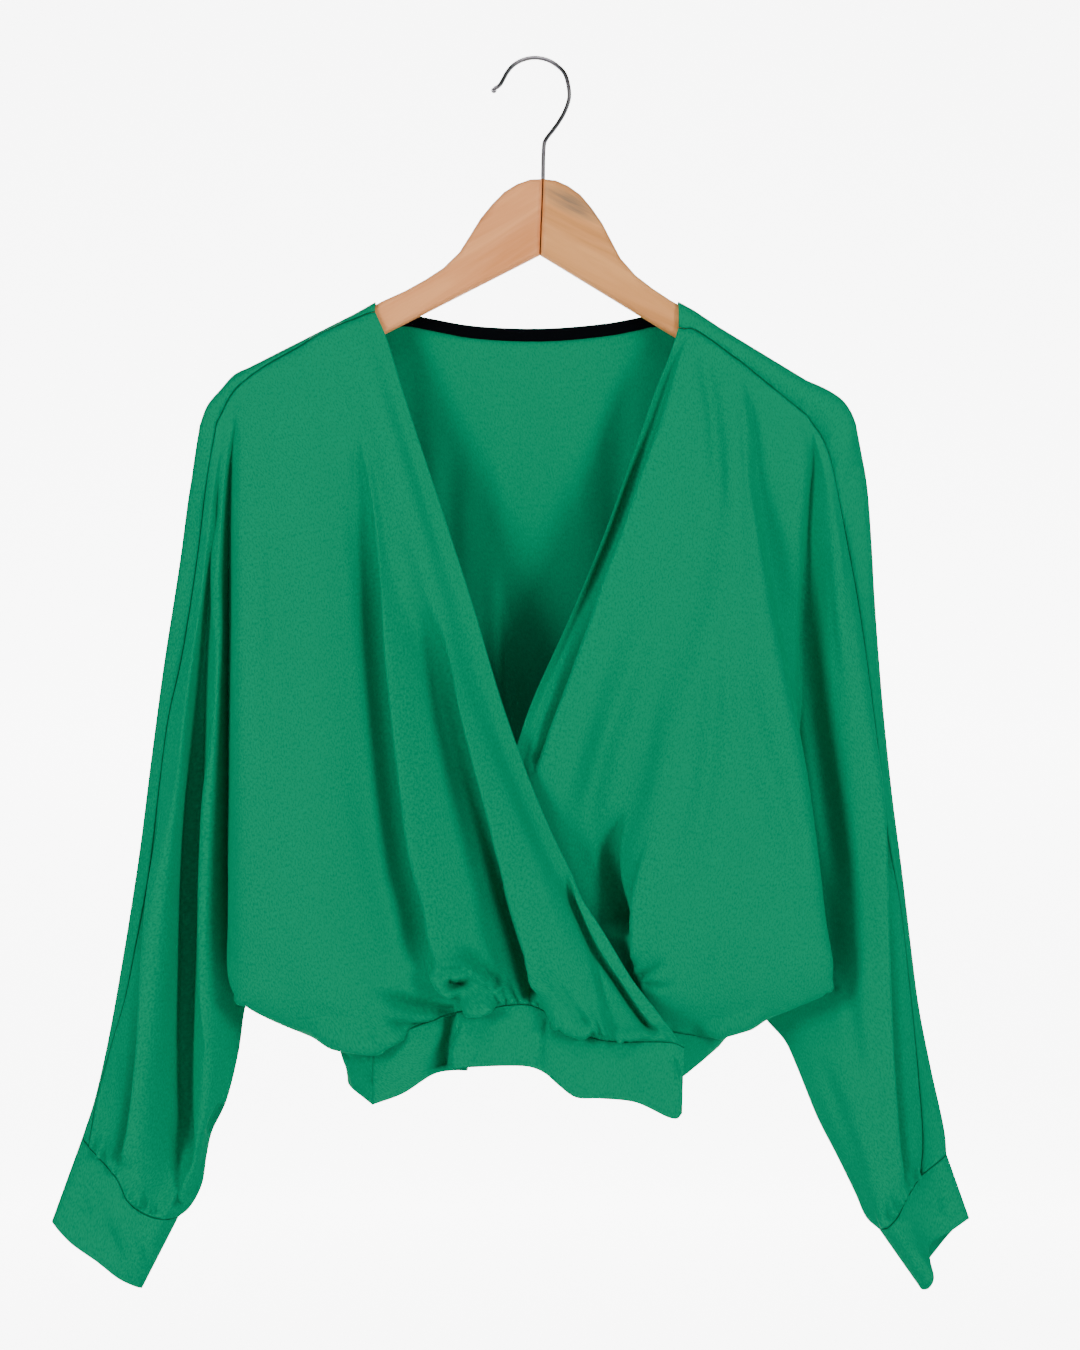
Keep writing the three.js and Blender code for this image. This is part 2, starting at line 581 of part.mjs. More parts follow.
function clothPieces() {
  const over = bodyFront(OVER_FOLDS);
  const under = bodyFront(UNDER_FOLDS);
  const overLast = over[0].length - 1;
  const underLast = under[0].length - 1;
  const leftFront = sleeveFront(LEFT_SLEEVE, columnOf(over, overLast));
  const rightFront = sleeveFront(RIGHT_SLEEVE, columnOf(under, underLast));

  const leftCap = shoulderCap([...over[0], ...leftFront[0].slice(1)], overLast, LEFT_TIP_OUTLINE);
  const rightCap = shoulderCap([...under[0], ...rightFront[0].slice(1)], underLast, RIGHT_TIP_OUTLINE);
  const capRows = leftCap.length - 1;
  const lastColumn = (grid) => columnOf(grid, grid[0].length - 1);
  const leftWrap = sleeveWrap(lastColumn(leftFront), LEFT_OUTLINE, lastColumn(leftCap), 1);
  const rightWrap = sleeveWrap(lastColumn(rightFront), RIGHT_OUTLINE, lastColumn(rightCap), -1);

  const leftDip = smoothLine(
    [[leftCap[capRows][overLast].x, -leftCap[capRows][overLast].z, -8.6], ...LEFT_BACK_DIP], BODY_ROWS);
  const rightDip = smoothLine(
    [[rightCap[capRows][underLast].x, -rightCap[capRows][underLast].z, -8.6], ...RIGHT_BACK_DIP], BODY_ROWS);
  const below = (grid) => columnOf(grid, 0).slice(BODY_ROWS + 1);
  const leftBack = sleeveBack(
    lastColumn(leftWrap), [...leftDip, ...below(leftFront)], leftCap[capRows].slice(overLast).reverse());
  const rightBack = sleeveBack(
    lastColumn(rightWrap), [...rightDip, ...below(rightFront)], rightCap[capRows].slice(underLast).reverse());

  const neck = BACK_NECK.map(place);
  const topRow = [
    ...leftCap[capRows].slice(0, overLast + 1).reverse(), ...neck, ...rightCap[capRows].slice(0, underLast + 1),
  ];
  const overWaist = Object.keys(OVER_FOLDS).indexOf('outerPanel') * BETWEEN;
  const underWaist = Object.keys(UNDER_FOLDS).indexOf('broadPanel') * BETWEEN;
  const waistSpans = topRow.length - 1 - (overLast - overWaist) - (underLast - underWaist);
  const backWaist = smoothLine(BACK_WAIST, waistSpans);
  const bottomRow = [
    leftDip[BODY_ROWS], ...over[BODY_ROWS].slice(overWaist, overLast).reverse(), ...backWaist.slice(1, -1),
    ...under[BODY_ROWS].slice(underWaist, underLast), rightDip[BODY_ROWS],
  ];
  const middle = bodyBack(topRow, bottomRow, leftDip, rightDip);
  middle[BODY_ROWS] = bottomRow;

  const neckColumns = [overLast, overLast + neck.length + 2];
  const binding = neckBinding(middle[0].slice(...neckColumns), middle[1].slice(...neckColumns));

  const overEnd = overWaist - BETWEEN;
  const bandOver = band(over[BODY_ROWS].slice(0, overEnd + 1), BAND_OVER_HEM.map(place));
  const bandUnder = band(under[BODY_ROWS].slice(0, underWaist + 1), BAND_UNDER_HEM.map(place));
  const backTop = [...over[BODY_ROWS].slice(overEnd, overWaist), ...backWaist];
  const bandBack = band(backTop, smoothLine(BAND_BACK_HEM, backTop.length - 1));

  const endRing = (front, wrap, back) => [
    ...front[front.length - 1], ...wrap[wrap.length - 1].slice(1), ...back[back.length - 1].slice(1, -1),
  ];
  const leftCuff = cuff(endRing(leftFront, leftWrap, leftBack), LEFT_CUFF_HEM, leftFront[0].length + 1, 0.5);
  const rightCuff = cuff(
    endRing(rightFront, rightWrap, rightBack), RIGHT_CUFF_HEM, rightFront[0].length + 1, 0.6);

  return {
    front_over: joinGrids([{ grid: over }, { grid: leftFront }]),
    front_under: joinGrids([{ grid: under, turned: true }, { grid: rightFront, turned: true }]),
    back: joinGrids([
      { grid: leftCap, turned: true }, { grid: rightCap },
      { grid: leftWrap }, { grid: rightWrap, turned: true },
      { grid: leftBack }, { grid: rightBack, turned: true },
      { grid: middle },
    ]),
    band_over: joinGrids([{ grid: bandOver }]),
    band_under: joinGrids([{ grid: bandUnder, turned: true }]),
    band_back: joinGrids([{ grid: bandBack }]),
    cuff_left: joinGrids([{ grid: leftCuff }]),
    cuff_right: joinGrids([{ grid: rightCuff, turned: true }]),
    neck_binding: joinGrids([{ grid: binding }]),
  };
}

const wasm = await Module();
wasm.setup();

function solidOf(geometry) {
  const plain = geometry.clone();
  plain.deleteAttribute('normal');
  plain.deleteAttribute('uv');
  const merged = mergeVertices(plain, 1e-4);
  return new wasm.Manifold(new wasm.Mesh({
    numProp: 3,
    vertProperties: merged.attributes.position.array,
    triVerts: new Uint32Array(merged.index.array),
  }));
}

function geometryOf(solid) {
  const mesh = solid.getMesh();
  const geometry = new THREE.BufferGeometry();
  geometry.setAttribute('position', new THREE.Float32BufferAttribute(mesh.vertProperties, 3));
  geometry.setIndex([...mesh.triVerts]);
  return geometry;
}

// One half of the hanger: a flat board with rounded edges, mitred on the joint, grooved for the stem.
function hangerArm(side) {
  const outline = [
    ...ARM_TOP, ...ARM_END, [110, ARM_LOWER_START + 110 * ARM_SLOPE], [0, ARM_LOWER_START],
  ];
  const start = SEAM_GAP / 2;
  const points = outline.map(([out, drop]) => new THREE.Vector2(side * Math.max(out, start), -drop));
  const shape = new THREE.Shape(side > 0 ? points.reverse() : points);
  const flat = HANGER_THICK - 2 * ARM_ROUND;
  const board = new THREE.ExtrudeGeometry(shape, {
    depth: flat, bevelThickness: ARM_ROUND, bevelSize: ARM_ROUND - 1, bevelOffset: 1 - ARM_ROUND,
    bevelSegments: 4, curveSegments: 8, steps: 1,
  });
  board.translate(0, 0, -flat / 2);
  board.rotateX(Math.PI / 2);
  board.rotateY(THREE.MathUtils.degToRad(HANGER_TILT));
  board.translate(HANGER_JOINT[0], 0, -HANGER_JOINT[1]);
  const hole = new THREE.CylinderGeometry(STEM_HOLE_RADIUS, STEM_HOLE_RADIUS, 60, 16);
  hole.rotateX(Math.PI / 2);
  hole.translate(HANGER_JOINT[0], 0, -HANGER_JOINT[1]);
  return geometryOf(solidOf(board).subtract(solidOf(hole)));
}

function hookWire() {
  const path = new THREE.CatmullRomCurve3(HOOK_PATH.map(([across, drop]) => place([across, drop, 0])));
  const round = new THREE.Shape();
  round.absarc(0, 0, WIRE_RADIUS, 0, Math.PI * 2);
  const wire = new THREE.ExtrudeGeometry(round, { steps: 60, extrudePath: path, curveSegments: 5 });
  const ball = new THREE.SphereGeometry(WIRE_RADIUS * 1.35, 14, 10);
  const [across, drop] = HOOK_BALL;
  ball.translate(across, 0, -drop);
  return geometryOf(solidOf(wire).add(solidOf(ball)));
}

const EMERALD = { color: '#00966a', roughness: 0.55, metalness: 0 };
const MATERIALS = {
  neck_binding: { color: '#04070c', roughness: 0.8, metalness: 0 },
  hanger_arm_left: { color: '#dbae89', roughness: 0.6, metalness: 0 },
  hanger_arm_right: { color: '#cfa47a', roughness: 0.6, metalness: 0 },
  hook: { color: '#b8bcc0', roughness: 0.2, metalness: 1 },
};

function addNode(group, name, geometry) {
  const material = new THREE.MeshStandardMaterial(MATERIALS[name] ?? EMERALD);
  geometry.computeVertexNormals();
  const mesh = new THREE.Mesh(geometry, material);
  mesh.name = name;
  group.add(mesh);
}

const part = new THREE.Group();
part.name = 'wrap_top_on_hanger';
const pieces = clothPieces();
const normals = sharedNormals(Object.values(pieces));
for (const [name, piece] of Object.entries(pieces)) {
  addNode(part, name, wallOf(piece, normals, name === 'neck_binding' ? BINDING : CLOTH));
}
addNode(part, 'hanger_arm_left', hangerArm(-1));
addNode(part, 'hanger_arm_right', hangerArm(1));
addNode(part, 'hook', hookWire());

export default part;
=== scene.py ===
# %% [markdown]
# # A wrap top on a wooden hanger
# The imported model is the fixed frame: nine rigid walls of cloth, two halves of a wooden hanger and
# its wire hook. This script puts a thin, finely folded shell of cloth in place of each wall, and
# gives wood, wire and jersey their materials. Lengths in the tables are millimetres.

# %% Load the frame
import math

import bpy
import numpy as np
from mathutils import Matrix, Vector


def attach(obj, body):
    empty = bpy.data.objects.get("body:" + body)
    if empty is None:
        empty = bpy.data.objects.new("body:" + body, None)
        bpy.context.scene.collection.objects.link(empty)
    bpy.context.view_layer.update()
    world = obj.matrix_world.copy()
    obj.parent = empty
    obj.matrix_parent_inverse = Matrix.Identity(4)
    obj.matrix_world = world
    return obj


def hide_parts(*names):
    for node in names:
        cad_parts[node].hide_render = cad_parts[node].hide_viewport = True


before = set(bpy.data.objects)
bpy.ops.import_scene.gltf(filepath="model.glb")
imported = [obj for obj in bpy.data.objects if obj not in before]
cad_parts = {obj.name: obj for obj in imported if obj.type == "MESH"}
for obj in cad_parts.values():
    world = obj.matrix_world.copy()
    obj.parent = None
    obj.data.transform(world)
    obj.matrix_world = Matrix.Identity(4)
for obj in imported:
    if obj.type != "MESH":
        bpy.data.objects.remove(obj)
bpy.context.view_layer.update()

print("frame:", len(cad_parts), "nodes")

# %% [markdown]
# ## Where the folds run
# A soft jersey top hangs in long folds from the shoulders and is drawn in again at the waistband and
# cuffs. Each fold line is one row of stations, and a station is (across, drop below the inside of
# the hook, front of the hanger's middle). They are the same named lines that the rigid part uses,
# so the shells lie on its walls. Only the outline of the right shoulder is up to 4 mm fuller here.
# Simulating the cloth would also give folds, but not these ones.

# %% Fold lines of the two fronts and the sleeves
HANGER_TILT = 2.2
HANGER_JOINT = (6, 84.1)
BINDING_WIDTH = 9.5

ARM_TOP = [
    (0, 0), (9, 0.7), (18, 4.2), (27, 10.2), (35, 19), (43, 29.6), (50, 42), (57, 54),
    (68, 65.5), (80, 74), (94, 82.5), (110, 90.5), (128, 101.6), (209, 146.7),
]

OVER_FOLDS = {
    "wrap_edge": [
        (-112, 178.5, 8.2), (-104.7, 194.8, 9), (-92, 235.7, 10), (-68.7, 306.2, 13), (-45.4, 377.4, 17),
        (-20, 460.6, 24), (6, 529.7, 30), (36.3, 591, 36), (68, 643.9, 40), (91.3, 674.9, 42), (104, 692, 42),
    ],
    "strap_line": [
        (-118, 180, 8.2), (-111, 194.8, 8), (-99.5, 235.7, 9), (-77, 306.2, 12), (-54, 377.4, 16),
        (-29, 460.6, 23), (-3.5, 529.7, 29), (24, 583, 34), (52, 634, 37), (79, 671, 38), (97, 689, 40),
    ],
    "third_fold": [
        (-125, 183, 8.2), (-96.2, 275.2, 15), (-66.6, 377.4, 21), (-39.8, 460.6, 30),
        (-14.5, 529.7, 38), (9.5, 592.4, 45), (26.4, 634.7, 47), (41, 680, 46), (43, 686, 40),
    ],
    "second_ridge": [
        (-134, 186.3, 8.2), (-106.1, 275.2, 15), (-80.7, 377.4, 20), (-60.3, 424.6, 27),
        (-41.3, 500.8, 36), (-24.4, 564.2, 42), (-8.2, 621.3, 46), (9, 664, 44), (14, 671, 38),
    ],
    "second_dip": [
        (-143, 190.3, 8.2), (-114.5, 275.2, 12), (-92, 377.4, 15), (-73, 417.6, 16),
        (-57.5, 475.4, 20), (-39.8, 532.5, 25), (-23.6, 583.2, 30), (-10.2, 627.7, 33), (-3.2, 663, 37),
    ],
    "first_ridge": [
        (-153, 195, 8.2), (-121.6, 275.2, 14), (-104.7, 377.4, 20), (-99, 432.4, 25),
        (-92.7, 489.5, 30), (-81.4, 564.2, 36), (-73.7, 606.5, 40), (-62, 648, 42), (-38.4, 666, 37),
    ],
    "first_dip": [
        (-163, 201.6, 8.2), (-128.7, 275.2, 11), (-113.2, 367.5, 13), (-106.8, 432.4, 17),
        (-100.5, 489.5, 21), (-90.6, 564.2, 26), (-82.1, 603, 30), (-73, 645, 33), (-56, 669, 34),
    ],
    "broad_panel": [
        (-176, 209, 8.2), (-158.3, 275.2, 13), (-154.8, 377.4, 21), (-151.2, 489.5, 30),
        (-147.7, 578.3, 36), (-140.6, 634.7, 40), (-124, 684, 36), (-117, 692, 30), (-113, 689, 24),
    ],
    "outer_panel": [
        (-185, 214, 8.2), (-182.9, 275.2, 12), (-182.9, 377.4, 20), (-182.9, 489.5, 28),
        (-180.8, 578.3, 33), (-176, 634.7, 34), (-156, 682, 24), (-146, 689.5, 14), (-140.6, 690, 2),
    ],
    "side_edge": [
        (-193, 219, 8.2), (-204.1, 275.2, 12), (-206.5, 377.4, 18), (-207, 489.5, 22),
        (-207.5, 578.3, 24), (-209, 634.7, 22), (-209.5, 656, 19), (-202, 666, 14), (-176, 678, 7),
        (-156, 681, 0),
    ],
    "sleeve_dip": [
        (-201.3, 225.1, 8.2), (-208, 250, 8.2), (-212, 270, 6), (-214.6, 296.3, 1), (-216.1, 380.9, -7),
        (-216.5, 489.5, -8), (-216.5, 578.3, -8), (-212, 622, -8), (-200, 652, -9.8),
    ],
}

UNDER_FOLDS = {
    "neck_edge": [
        (101.2, 189.6, 8.2), (96.2, 205.4, 8.5), (84.2, 236.4, 9), (65.9, 288.6, 10), (47.6, 338.6, 11),
        (23.6, 396.4, 14), (-1, 450.7, 17), (-10.9, 478.2, 18), (-31.4, 543, 18), (-59.6, 606.5, 19),
        (-84.2, 660, 21),
    ],
    "rolled_dip": [
        (106, 190.4, 8.2), (93.4, 229.3, 6.5), (81.4, 264.6, 7), (67.3, 303.4, 7), (53.2, 340, 8),
        (30.7, 391.5, 10), (7.4, 444.4, 13), (-6.7, 492.3, 16), (-24.3, 550.1, 18), (-52.5, 610, 20),
        (-73.7, 661, 21),
    ],
    "rolled_ridge": [
        (111, 190.5, 8.2), (102.6, 211.7, 10.5), (88.5, 256.1, 13), (75.1, 291.4, 14.5), (59.6, 338.6, 17),
        (39.1, 396.4, 19), (19.4, 450.7, 20), (-2.5, 506.4, 20), (-17.3, 557.2, 20), (-38.4, 613.5, 22),
        (-52.5, 662, 23),
    ],
    "soft_dip": [
        (125.1, 199, 8.2), (125.1, 239.9, 9.5), (128.7, 281.5, 12), (109.6, 380.9, 17), (74.4, 479.6, 20),
        (55, 564.2, 22), (58, 613.5, 20), (64, 645, 22), (70.8, 674, 26),
    ],
    "soft_ridge": [
        (133.6, 205.3, 8.2), (137.8, 261, 13), (132.2, 352.7, 20), (109.6, 451.4, 28), (81.4, 536, 33),
        (71.6, 583.2, 34), (69.4, 613.5, 34), (76, 650, 34), (85, 680, 27),
    ],
    "broad_panel": [
        (140.5, 210.5, 8.2), (144, 261, 13), (144.5, 352.7, 21), (141.3, 451.4, 29), (132, 536, 34),
        (128, 613.5, 36), (133, 655, 28), (138, 675, 17), (136.4, 687.6, 2),
    ],
    "side_edge": [
        (146.3, 214.5, 8.2), (147.7, 256.1, 12), (149.8, 293.5, 16), (155.5, 331.6, 20),
        (162.5, 380.9, 24), (173.8, 438.7, 28), (185.8, 495.8, 30), (194.2, 553.6, 31), (201.3, 605.1, 30),
        (207.5, 640, 26), (204, 656, 20), (190, 663.5, 17), (168, 673, 11), (142, 682, 2),
    ],
    "behind_edge": [
        (154, 220.9, 8.2), (154.8, 261, 8), (161.8, 331.6, 8), (170.3, 380.9, 9), (180.1, 438.7, 10),
        (189.3, 495.8, 11), (195.6, 553.6, 12), (198, 605, 12), (199, 640, 11), (190, 652, 9),
        (170, 662, 5), (146, 676, -1),
    ],
    "hidden_ridge": [
        (173.1, 236.4, 8.2), (187.9, 268.8, 9), (186.5, 331.6, 5), (184.4, 380.9, 3), (184.4, 438.7, 2),
        (183.7, 495.8, 2), (178.8, 553.6, 3), (175, 605, 4), (170, 640, 3), (150, 667, -4),
    ],
    "sleeve_dip": [
        (191.4, 251.2, 8.2), (195.5, 264, 8), (197, 278, 4), (194, 306.2, -1), (191, 380.9, -6), (185, 495.8, -8),
        (174, 557, -7), (160, 613.5, -6), (155.5, 656, -9.8),
    ],
}

LEFT_SLEEVE = {
    "underarm": [
        (-200, 652, -9.8), (-205, 669.2, -10), (-209.7, 701.7, -8), (-218.9, 737.6, -6),
        (-228.1, 756.7, -5), (-231.6, 772.9, -4), (-235.1, 794, -3), (-243.6, 809.5, -2),
        (-251.3, 815.9, -1),
    ],
    "inner_ridge": [
        (-205.5, 228.6, 8.2), (-214.5, 268.1, 8), (-221, 340, 9), (-222.4, 428.8, 12),
        (-226, 521.9, 10), (-229, 600, 8), (-230, 660, 8), (-231, 698.1, 8), (-234, 745, 7), (-242, 781, 7),
        (-260.5, 816.5, 7),
    ],
    "deep_dip": [
        (-210.4, 233.6, 8.2), (-216.5, 262, 8), (-222.5, 300, 6), (-229.5, 380.9, 0), (-235.1, 451.4, -3),
        (-236.5, 518.4, -4), (-241.5, 606.5, -5), (-244.3, 666.4, -5), (-246.5, 740.4, -4),
        (-254, 785, 0), (-272, 814, 7),
    ],
    "tube_ridge": [
        (-215.5, 241.3, 8.2), (-225.5, 303.3, 8), (-234.5, 380.9, 8), (-244.3, 451.4, 12),
        (-251.3, 518.4, 15), (-258.4, 577.6, 17), (-264, 627.6, 17), (-269.7, 698.1, 16),
        (-274, 754.5, 14), (-284.5, 805, 8),
    ],
    "tube_edge": [
        (-219.5, 249.8, 8.2), (-228.7, 310.4, 7), (-237, 380.9, 6), (-248, 445, 7), (-257, 518, 9),
        (-265.5, 577.6, 11), (-272, 627.6, 11), (-280, 698.1, 11), (-286, 754.5, 10), (-294.5, 787, 6),
    ],
    "overarm": [
        (-223.1, 256.1, 7.5), (-229.5, 291.4, 5), (-237.2, 352, 3), (-248.5, 423.2, 2),
        (-257.7, 464.8, 2), (-264.7, 518.4, 2), (-271.1, 571.3, 1), (-280.9, 624.9, 0),
        (-288.7, 663.6, -1), (-299.3, 698.9, -1), (-309.1, 734.8, -1), (-314.1, 766.5, -1),
    ],
}

RIGHT_SLEEVE = {
    "underarm": [
        (155.5, 656, -9.8), (161.8, 674.2, -10), (177.3, 692.5, -9), (185.1, 709.4, -8), (192.1, 727, -5),
        (199.9, 746.1, -4), (214.7, 775, -4), (226.7, 799.7, -3), (234.4, 816.6, -2), (243.6, 825, -1),
    ],
    "inner_ridge": [
        (196, 258, 8.2), (205.5, 306.2, 8), (206.9, 380.9, 7), (206.5, 495.8, 3), (206.5, 578.3, -3),
        (207.5, 634.7, -3), (209.7, 677, 3), (216.8, 719.3, 10), (228.1, 761.6, 11), (239, 796.8, 11),
        (249.2, 821.5, 8),
    ],
    "middle": [
        (201, 265, 8.2), (212, 330, 9), (219, 410, 11), (224, 500, 12), (229, 592.4, 13),
        (233, 662.9, 13), (238.2, 719.3, 13), (246, 768.7, 13), (254.6, 815.2, 9),
    ],
    "tube_ridge": [
        (206, 276, 8), (214, 331.5, 8), (222.4, 380.9, 9), (230.9, 438.7, 10), (237.9, 495.8, 11),
        (242.9, 545.1, 12), (247.8, 592.4, 13), (249.2, 639.6, 12), (251.3, 711.6, 11),
        (256.3, 772.2, 9), (262, 801.8, 6),
    ],
    "overarm": [
        (210.4, 291.3, 7), (218.2, 331.5, 5), (227.4, 380.9, 4), (235.8, 438.7, 4), (242.9, 495.8, 4),
        (248.5, 545.1, 3), (257.7, 596.7, 0), (264.7, 654.5, -2), (270.4, 711.6, -3),
        (273.9, 765, -3), (271.8, 787.7, -2),
    ],
}

LEFT_OUTLINE = [
    (-235.6, 258, 0), (-239.3, 278.7, -1), (-241.5, 293.5, -2), (-244.3, 310.4, -3), (-249.9, 352, -4),
    (-261.9, 428.9, -5), (-270.7, 494.4, -5), (-279.5, 562.8, -6), (-292.9, 646, -7),
    (-302.1, 696.1, -7), (-311, 734.8, -7), (-319.5, 760.9, -7),
]

RIGHT_OUTLINE = [
    (226.3, 257, 0), (231, 280, -1), (234.5, 299.8, -2), (238, 344.2, -3), (240.1, 380.9, -4),
    (245.7, 452.8, -5), (252.7, 519.1, -6), (259.1, 567.7, -7), (266.1, 625.5, -8),
    (271.8, 668.5, -9), (280.2, 711.6, -9), (290.1, 758.1, -9), (291.2, 773, -8),
]

LEFT_TIP_OUTLINE = [(-205.5, 218), (-211.1, 222.3), (-220.3, 232.2), (-230.2, 244.1), (-235.6, 258)]

RIGHT_TIP_OUTLINE = [(199, 230), (206, 233), (216.5, 240), (222.5, 248), (226.3, 257)]

LEFT_BACK_DIP = [
    (-212, 300, -15), (-212, 400, -17), (-213, 520, -18), (-210, 615, -19), (-200, 652, -12.2),
]

RIGHT_BACK_DIP = [
    (191, 320, -15), (186, 420, -17), (180, 520, -18), (165, 615, -17), (158, 640, -14), (155.5, 656, -12.2),
]

BACK_NECK = [
    (-94, 178, -9), (-75, 181, -9.5), (-45, 186.3, -10), (5, 188.4, -10), (52.5, 184.5, -10),
    (72, 181, -9.5), (88, 178, -9),
]

BACK_WAIST = [
    (-140.6, 690, 2), (-137, 686, -6), (-124, 679, -13), (-90, 668, -21), (-20, 660, -26),
    (50, 661, -26), (100, 670, -20), (125, 681, -11), (134, 686, -4), (136.4, 687.6, 2),
]

BACK_FOLDS = [
    ("left shoulder", -150, -112, 17, 7),
    ("left blade", -92, -62, 15, 5),
    ("centre", -24, -22, 13, -6),
    ("right blade", 66, 40, 16, 5),
    ("right shoulder", 130, 92, 18, 7),
]

BAND_OVER_HEM = [
    (102.5, 738, 40), (99, 741.5, 42), (94, 741, 43), (70, 730, 45), (45, 727.2, 46), (28.6, 726.5, 45),
    (17, 718.5, 42), (8, 711, 38), (-2, 706.6, 37), (-20, 705.2, 40), (-58.1, 707.7, 37), (-46, 709, 30),
    (-68, 711.5, 27), (-92, 726, 28), (-113, 734, 25),
]

BAND_UNDER_HEM = [
    (-82, 698, 20), (-78, 698, 20.5), (-74, 698.5, 21), (-64, 698, 22), (-54, 697, 23), (-2, 697, 25),
    (60, 716, 27), (80, 724, 27), (98, 718, 24), (114, 708, 11), (130, 696, -3),
]

BAND_BACK_HEM = [
    (-113, 734, 25), (-131, 721, 4), (-128, 715, -10), (-84, 707, -22), (-20, 701, -27), (40, 702, -27),
    (90, 706, -20), (118, 704, -12), (130, 696, -3),
]

LEFT_CUFF_HEM = [
    (-277, 866, 0), (-291, 859, 9), (-307, 846, 12), (-327, 832, 10), (-340, 819, 1),
    (-329, 827, -12), (-308, 842, -17), (-290, 855, -12),
]

RIGHT_CUFF_HEM = [
    (272.5, 866, 4), (277, 865, 9), (280.5, 858, 12), (278.5, 846, 6), (279, 836, -2), (293, 828, -6),
    (308, 819, -12), (298, 828, -20), (284, 845, -22), (273, 857, -12),
]

# %% [markdown]
# ## Smooth lines and sheets
# A fold line is a smooth curve through its stations, and a panel of cloth is a sheet of such curves
# joined across by other smooth curves. Rows come closer together towards waist and cuffs, where the
# cloth is gathered and needs the finest mesh.

# %% Curves through stations
BETWEEN = 18
BODY_ROWS = 150
UNDERARM_ROWS = 70
CAD_BODY_ROWS = 18
CAD_SLEEVE_ROWS = 25


def closing(rows, slow):
    """Fractions from 0 to 1 whose steps shorten towards 1, down to 1 - slow of the average."""
    even = np.linspace(0, 1, rows + 1)
    return (1 - slow) * even + slow * (1 - (1 - even) ** 2)


BODY_STEPS = closing(BODY_ROWS, 0.6)
UNDERARM_STEPS = closing(UNDERARM_ROWS, 0.6)
SLEEVE_STEPS = np.concatenate([
    CAD_BODY_ROWS * BODY_STEPS,
    CAD_BODY_ROWS + (CAD_SLEEVE_ROWS - CAD_BODY_ROWS) * UNDERARM_STEPS[1:],
]) / CAD_SLEEVE_ROWS
BELOW_TOP = np.minimum(1, SLEEVE_STEPS * CAD_SLEEVE_ROWS)


def places(stations):
    """Table stations as x, y, z in millimetres."""
    across, drop, front = np.array(stations, float).T
    return np.stack([across, -front, -drop], axis=1)


def through(points, at, closed=False):
    """Places at the fractions `at` of smooth curves through points, an array of stations first."""
    points = np.asarray(points, float)
    if closed:
        held = np.concatenate([points[-1:], points, points[:2]])
    else:
        held = np.concatenate([2 * points[:1] - points[1:2], points, 2 * points[-1:] - points[-2:-1]])
    spans = len(held) - 3
    where = np.clip(np.asarray(at, float), 0, 1) * spans
    first = np.minimum(where.astype(int), spans - 1)
    t = (where - first).reshape((-1,) + (1,) * (points.ndim - 1))
    a, b, c, d = (held[first + step] for step in range(4))
    ab, bc, cd = (
        np.maximum(np.sqrt(np.linalg.norm(end - start, axis=-1, keepdims=True)), 1e-2)
        for start, end in ((a, b), (b, c), (c, d)))
    leave = ((b - a) / ab - (c - a) / (ab + bc) + (c - b) / bc) * bc
    arrive = ((c - b) / bc - (d - b) / (bc + cd) + (d - c) / cd) * bc
    return (b * (2 * t**3 - 3 * t**2 + 1) + leave * (t**3 - 2 * t**2 + t)
            + c * (3 * t**2 - 2 * t**3) + arrive * (t**3 - t**2))


def smooth_line(stations, steps):
    """Places at fractions of the length of the smooth line through a table's stations."""
    points = places(stations)
    fine = np.linspace(0, 1, 40 * len(points))
    lengths = np.linalg.norm(np.diff(through(points, fine), axis=0), axis=1)
    along = np.concatenate([[0], np.cumsum(lengths)])
    return through(points, np.interp(np.asarray(steps) * along[-1], along, fine))


def across_lines(lines):
    """A sheet, rows down and columns across, through a list of lines with the same rows."""
    columns = (len(lines) - 1) * BETWEEN + 1
    return through(np.stack(lines), np.linspace(0, 1, columns)).transpose(1, 0, 2)


def body_front(folds):
    return across_lines([smooth_line(stations, BODY_STEPS) for stations in folds.values()])


def sleeve_front(folds, dip):
    """A sleeve's front: its inner line is the dip it shares with the body, then the underarm."""
    inner = np.concatenate([dip, smooth_line(folds["underarm"], UNDERARM_STEPS)[1:]])
    outer = [smooth_line(stations, SLEEVE_STEPS) for name, stations in folds.items() if name != "underarm"]
    return across_lines([inner, *outer])


# %% [markdown]
# ## Over the shoulders and round the back
# The back is cut with a forward shoulder: it comes over the hanger's arm and round the outside of the
# sleeve, and its seam with the front lies in front. The cap lies on the arm's top edge, so it is made
# from that edge. What the photograph doesn't show hangs plainly, with a few soft folds of its own.

# %% The back, from its forward seam
CAP_OVER_ARM = [(7.4, 2.4), (2.8, 0), (-2.8, 0), (-7.4, 2.4), (-8.6, 10)]
CAP_ROWS = 15
SLEEVE_SWELL = [0, 9, 14, 8, 11, 15, 12, 6, 0]
BACK_LEVEL = 16
ABOVE_ARM = 1.5
WRAP_INSIDE = (1.5, 4.5, 0)  # inwards, back and up from the outline of a sleeve
WRAP_BEHIND = (9, 10, 1)
DIP_REACH = 7  # so far the back follows a dip, in halves of the space between two lines
WAIST_TURN = 18  # the higher, the later the back turns in to the waistband
BACK_SWELL = (10, 5)  # at the shoulders, and how much more at the waist


def arm_top_drop(across):
    """The drop of the hanger's top edge at places across."""
    tilt = math.radians(HANGER_TILT)
    out, drop = np.array(ARM_TOP).T
    edges = []
    for side in (-1, 1):
        x = HANGER_JOINT[0] + side * out * math.cos(tilt) - drop * math.sin(tilt)
        z = HANGER_JOINT[1] + side * out * math.sin(tilt) + drop * math.cos(tilt)
        edges.append(np.stack([x, z], axis=1)[::side])
    edge = np.concatenate([edges[0], edges[1][1:]])
    return np.interp(across, edge[:, 0], edge[:, 1])


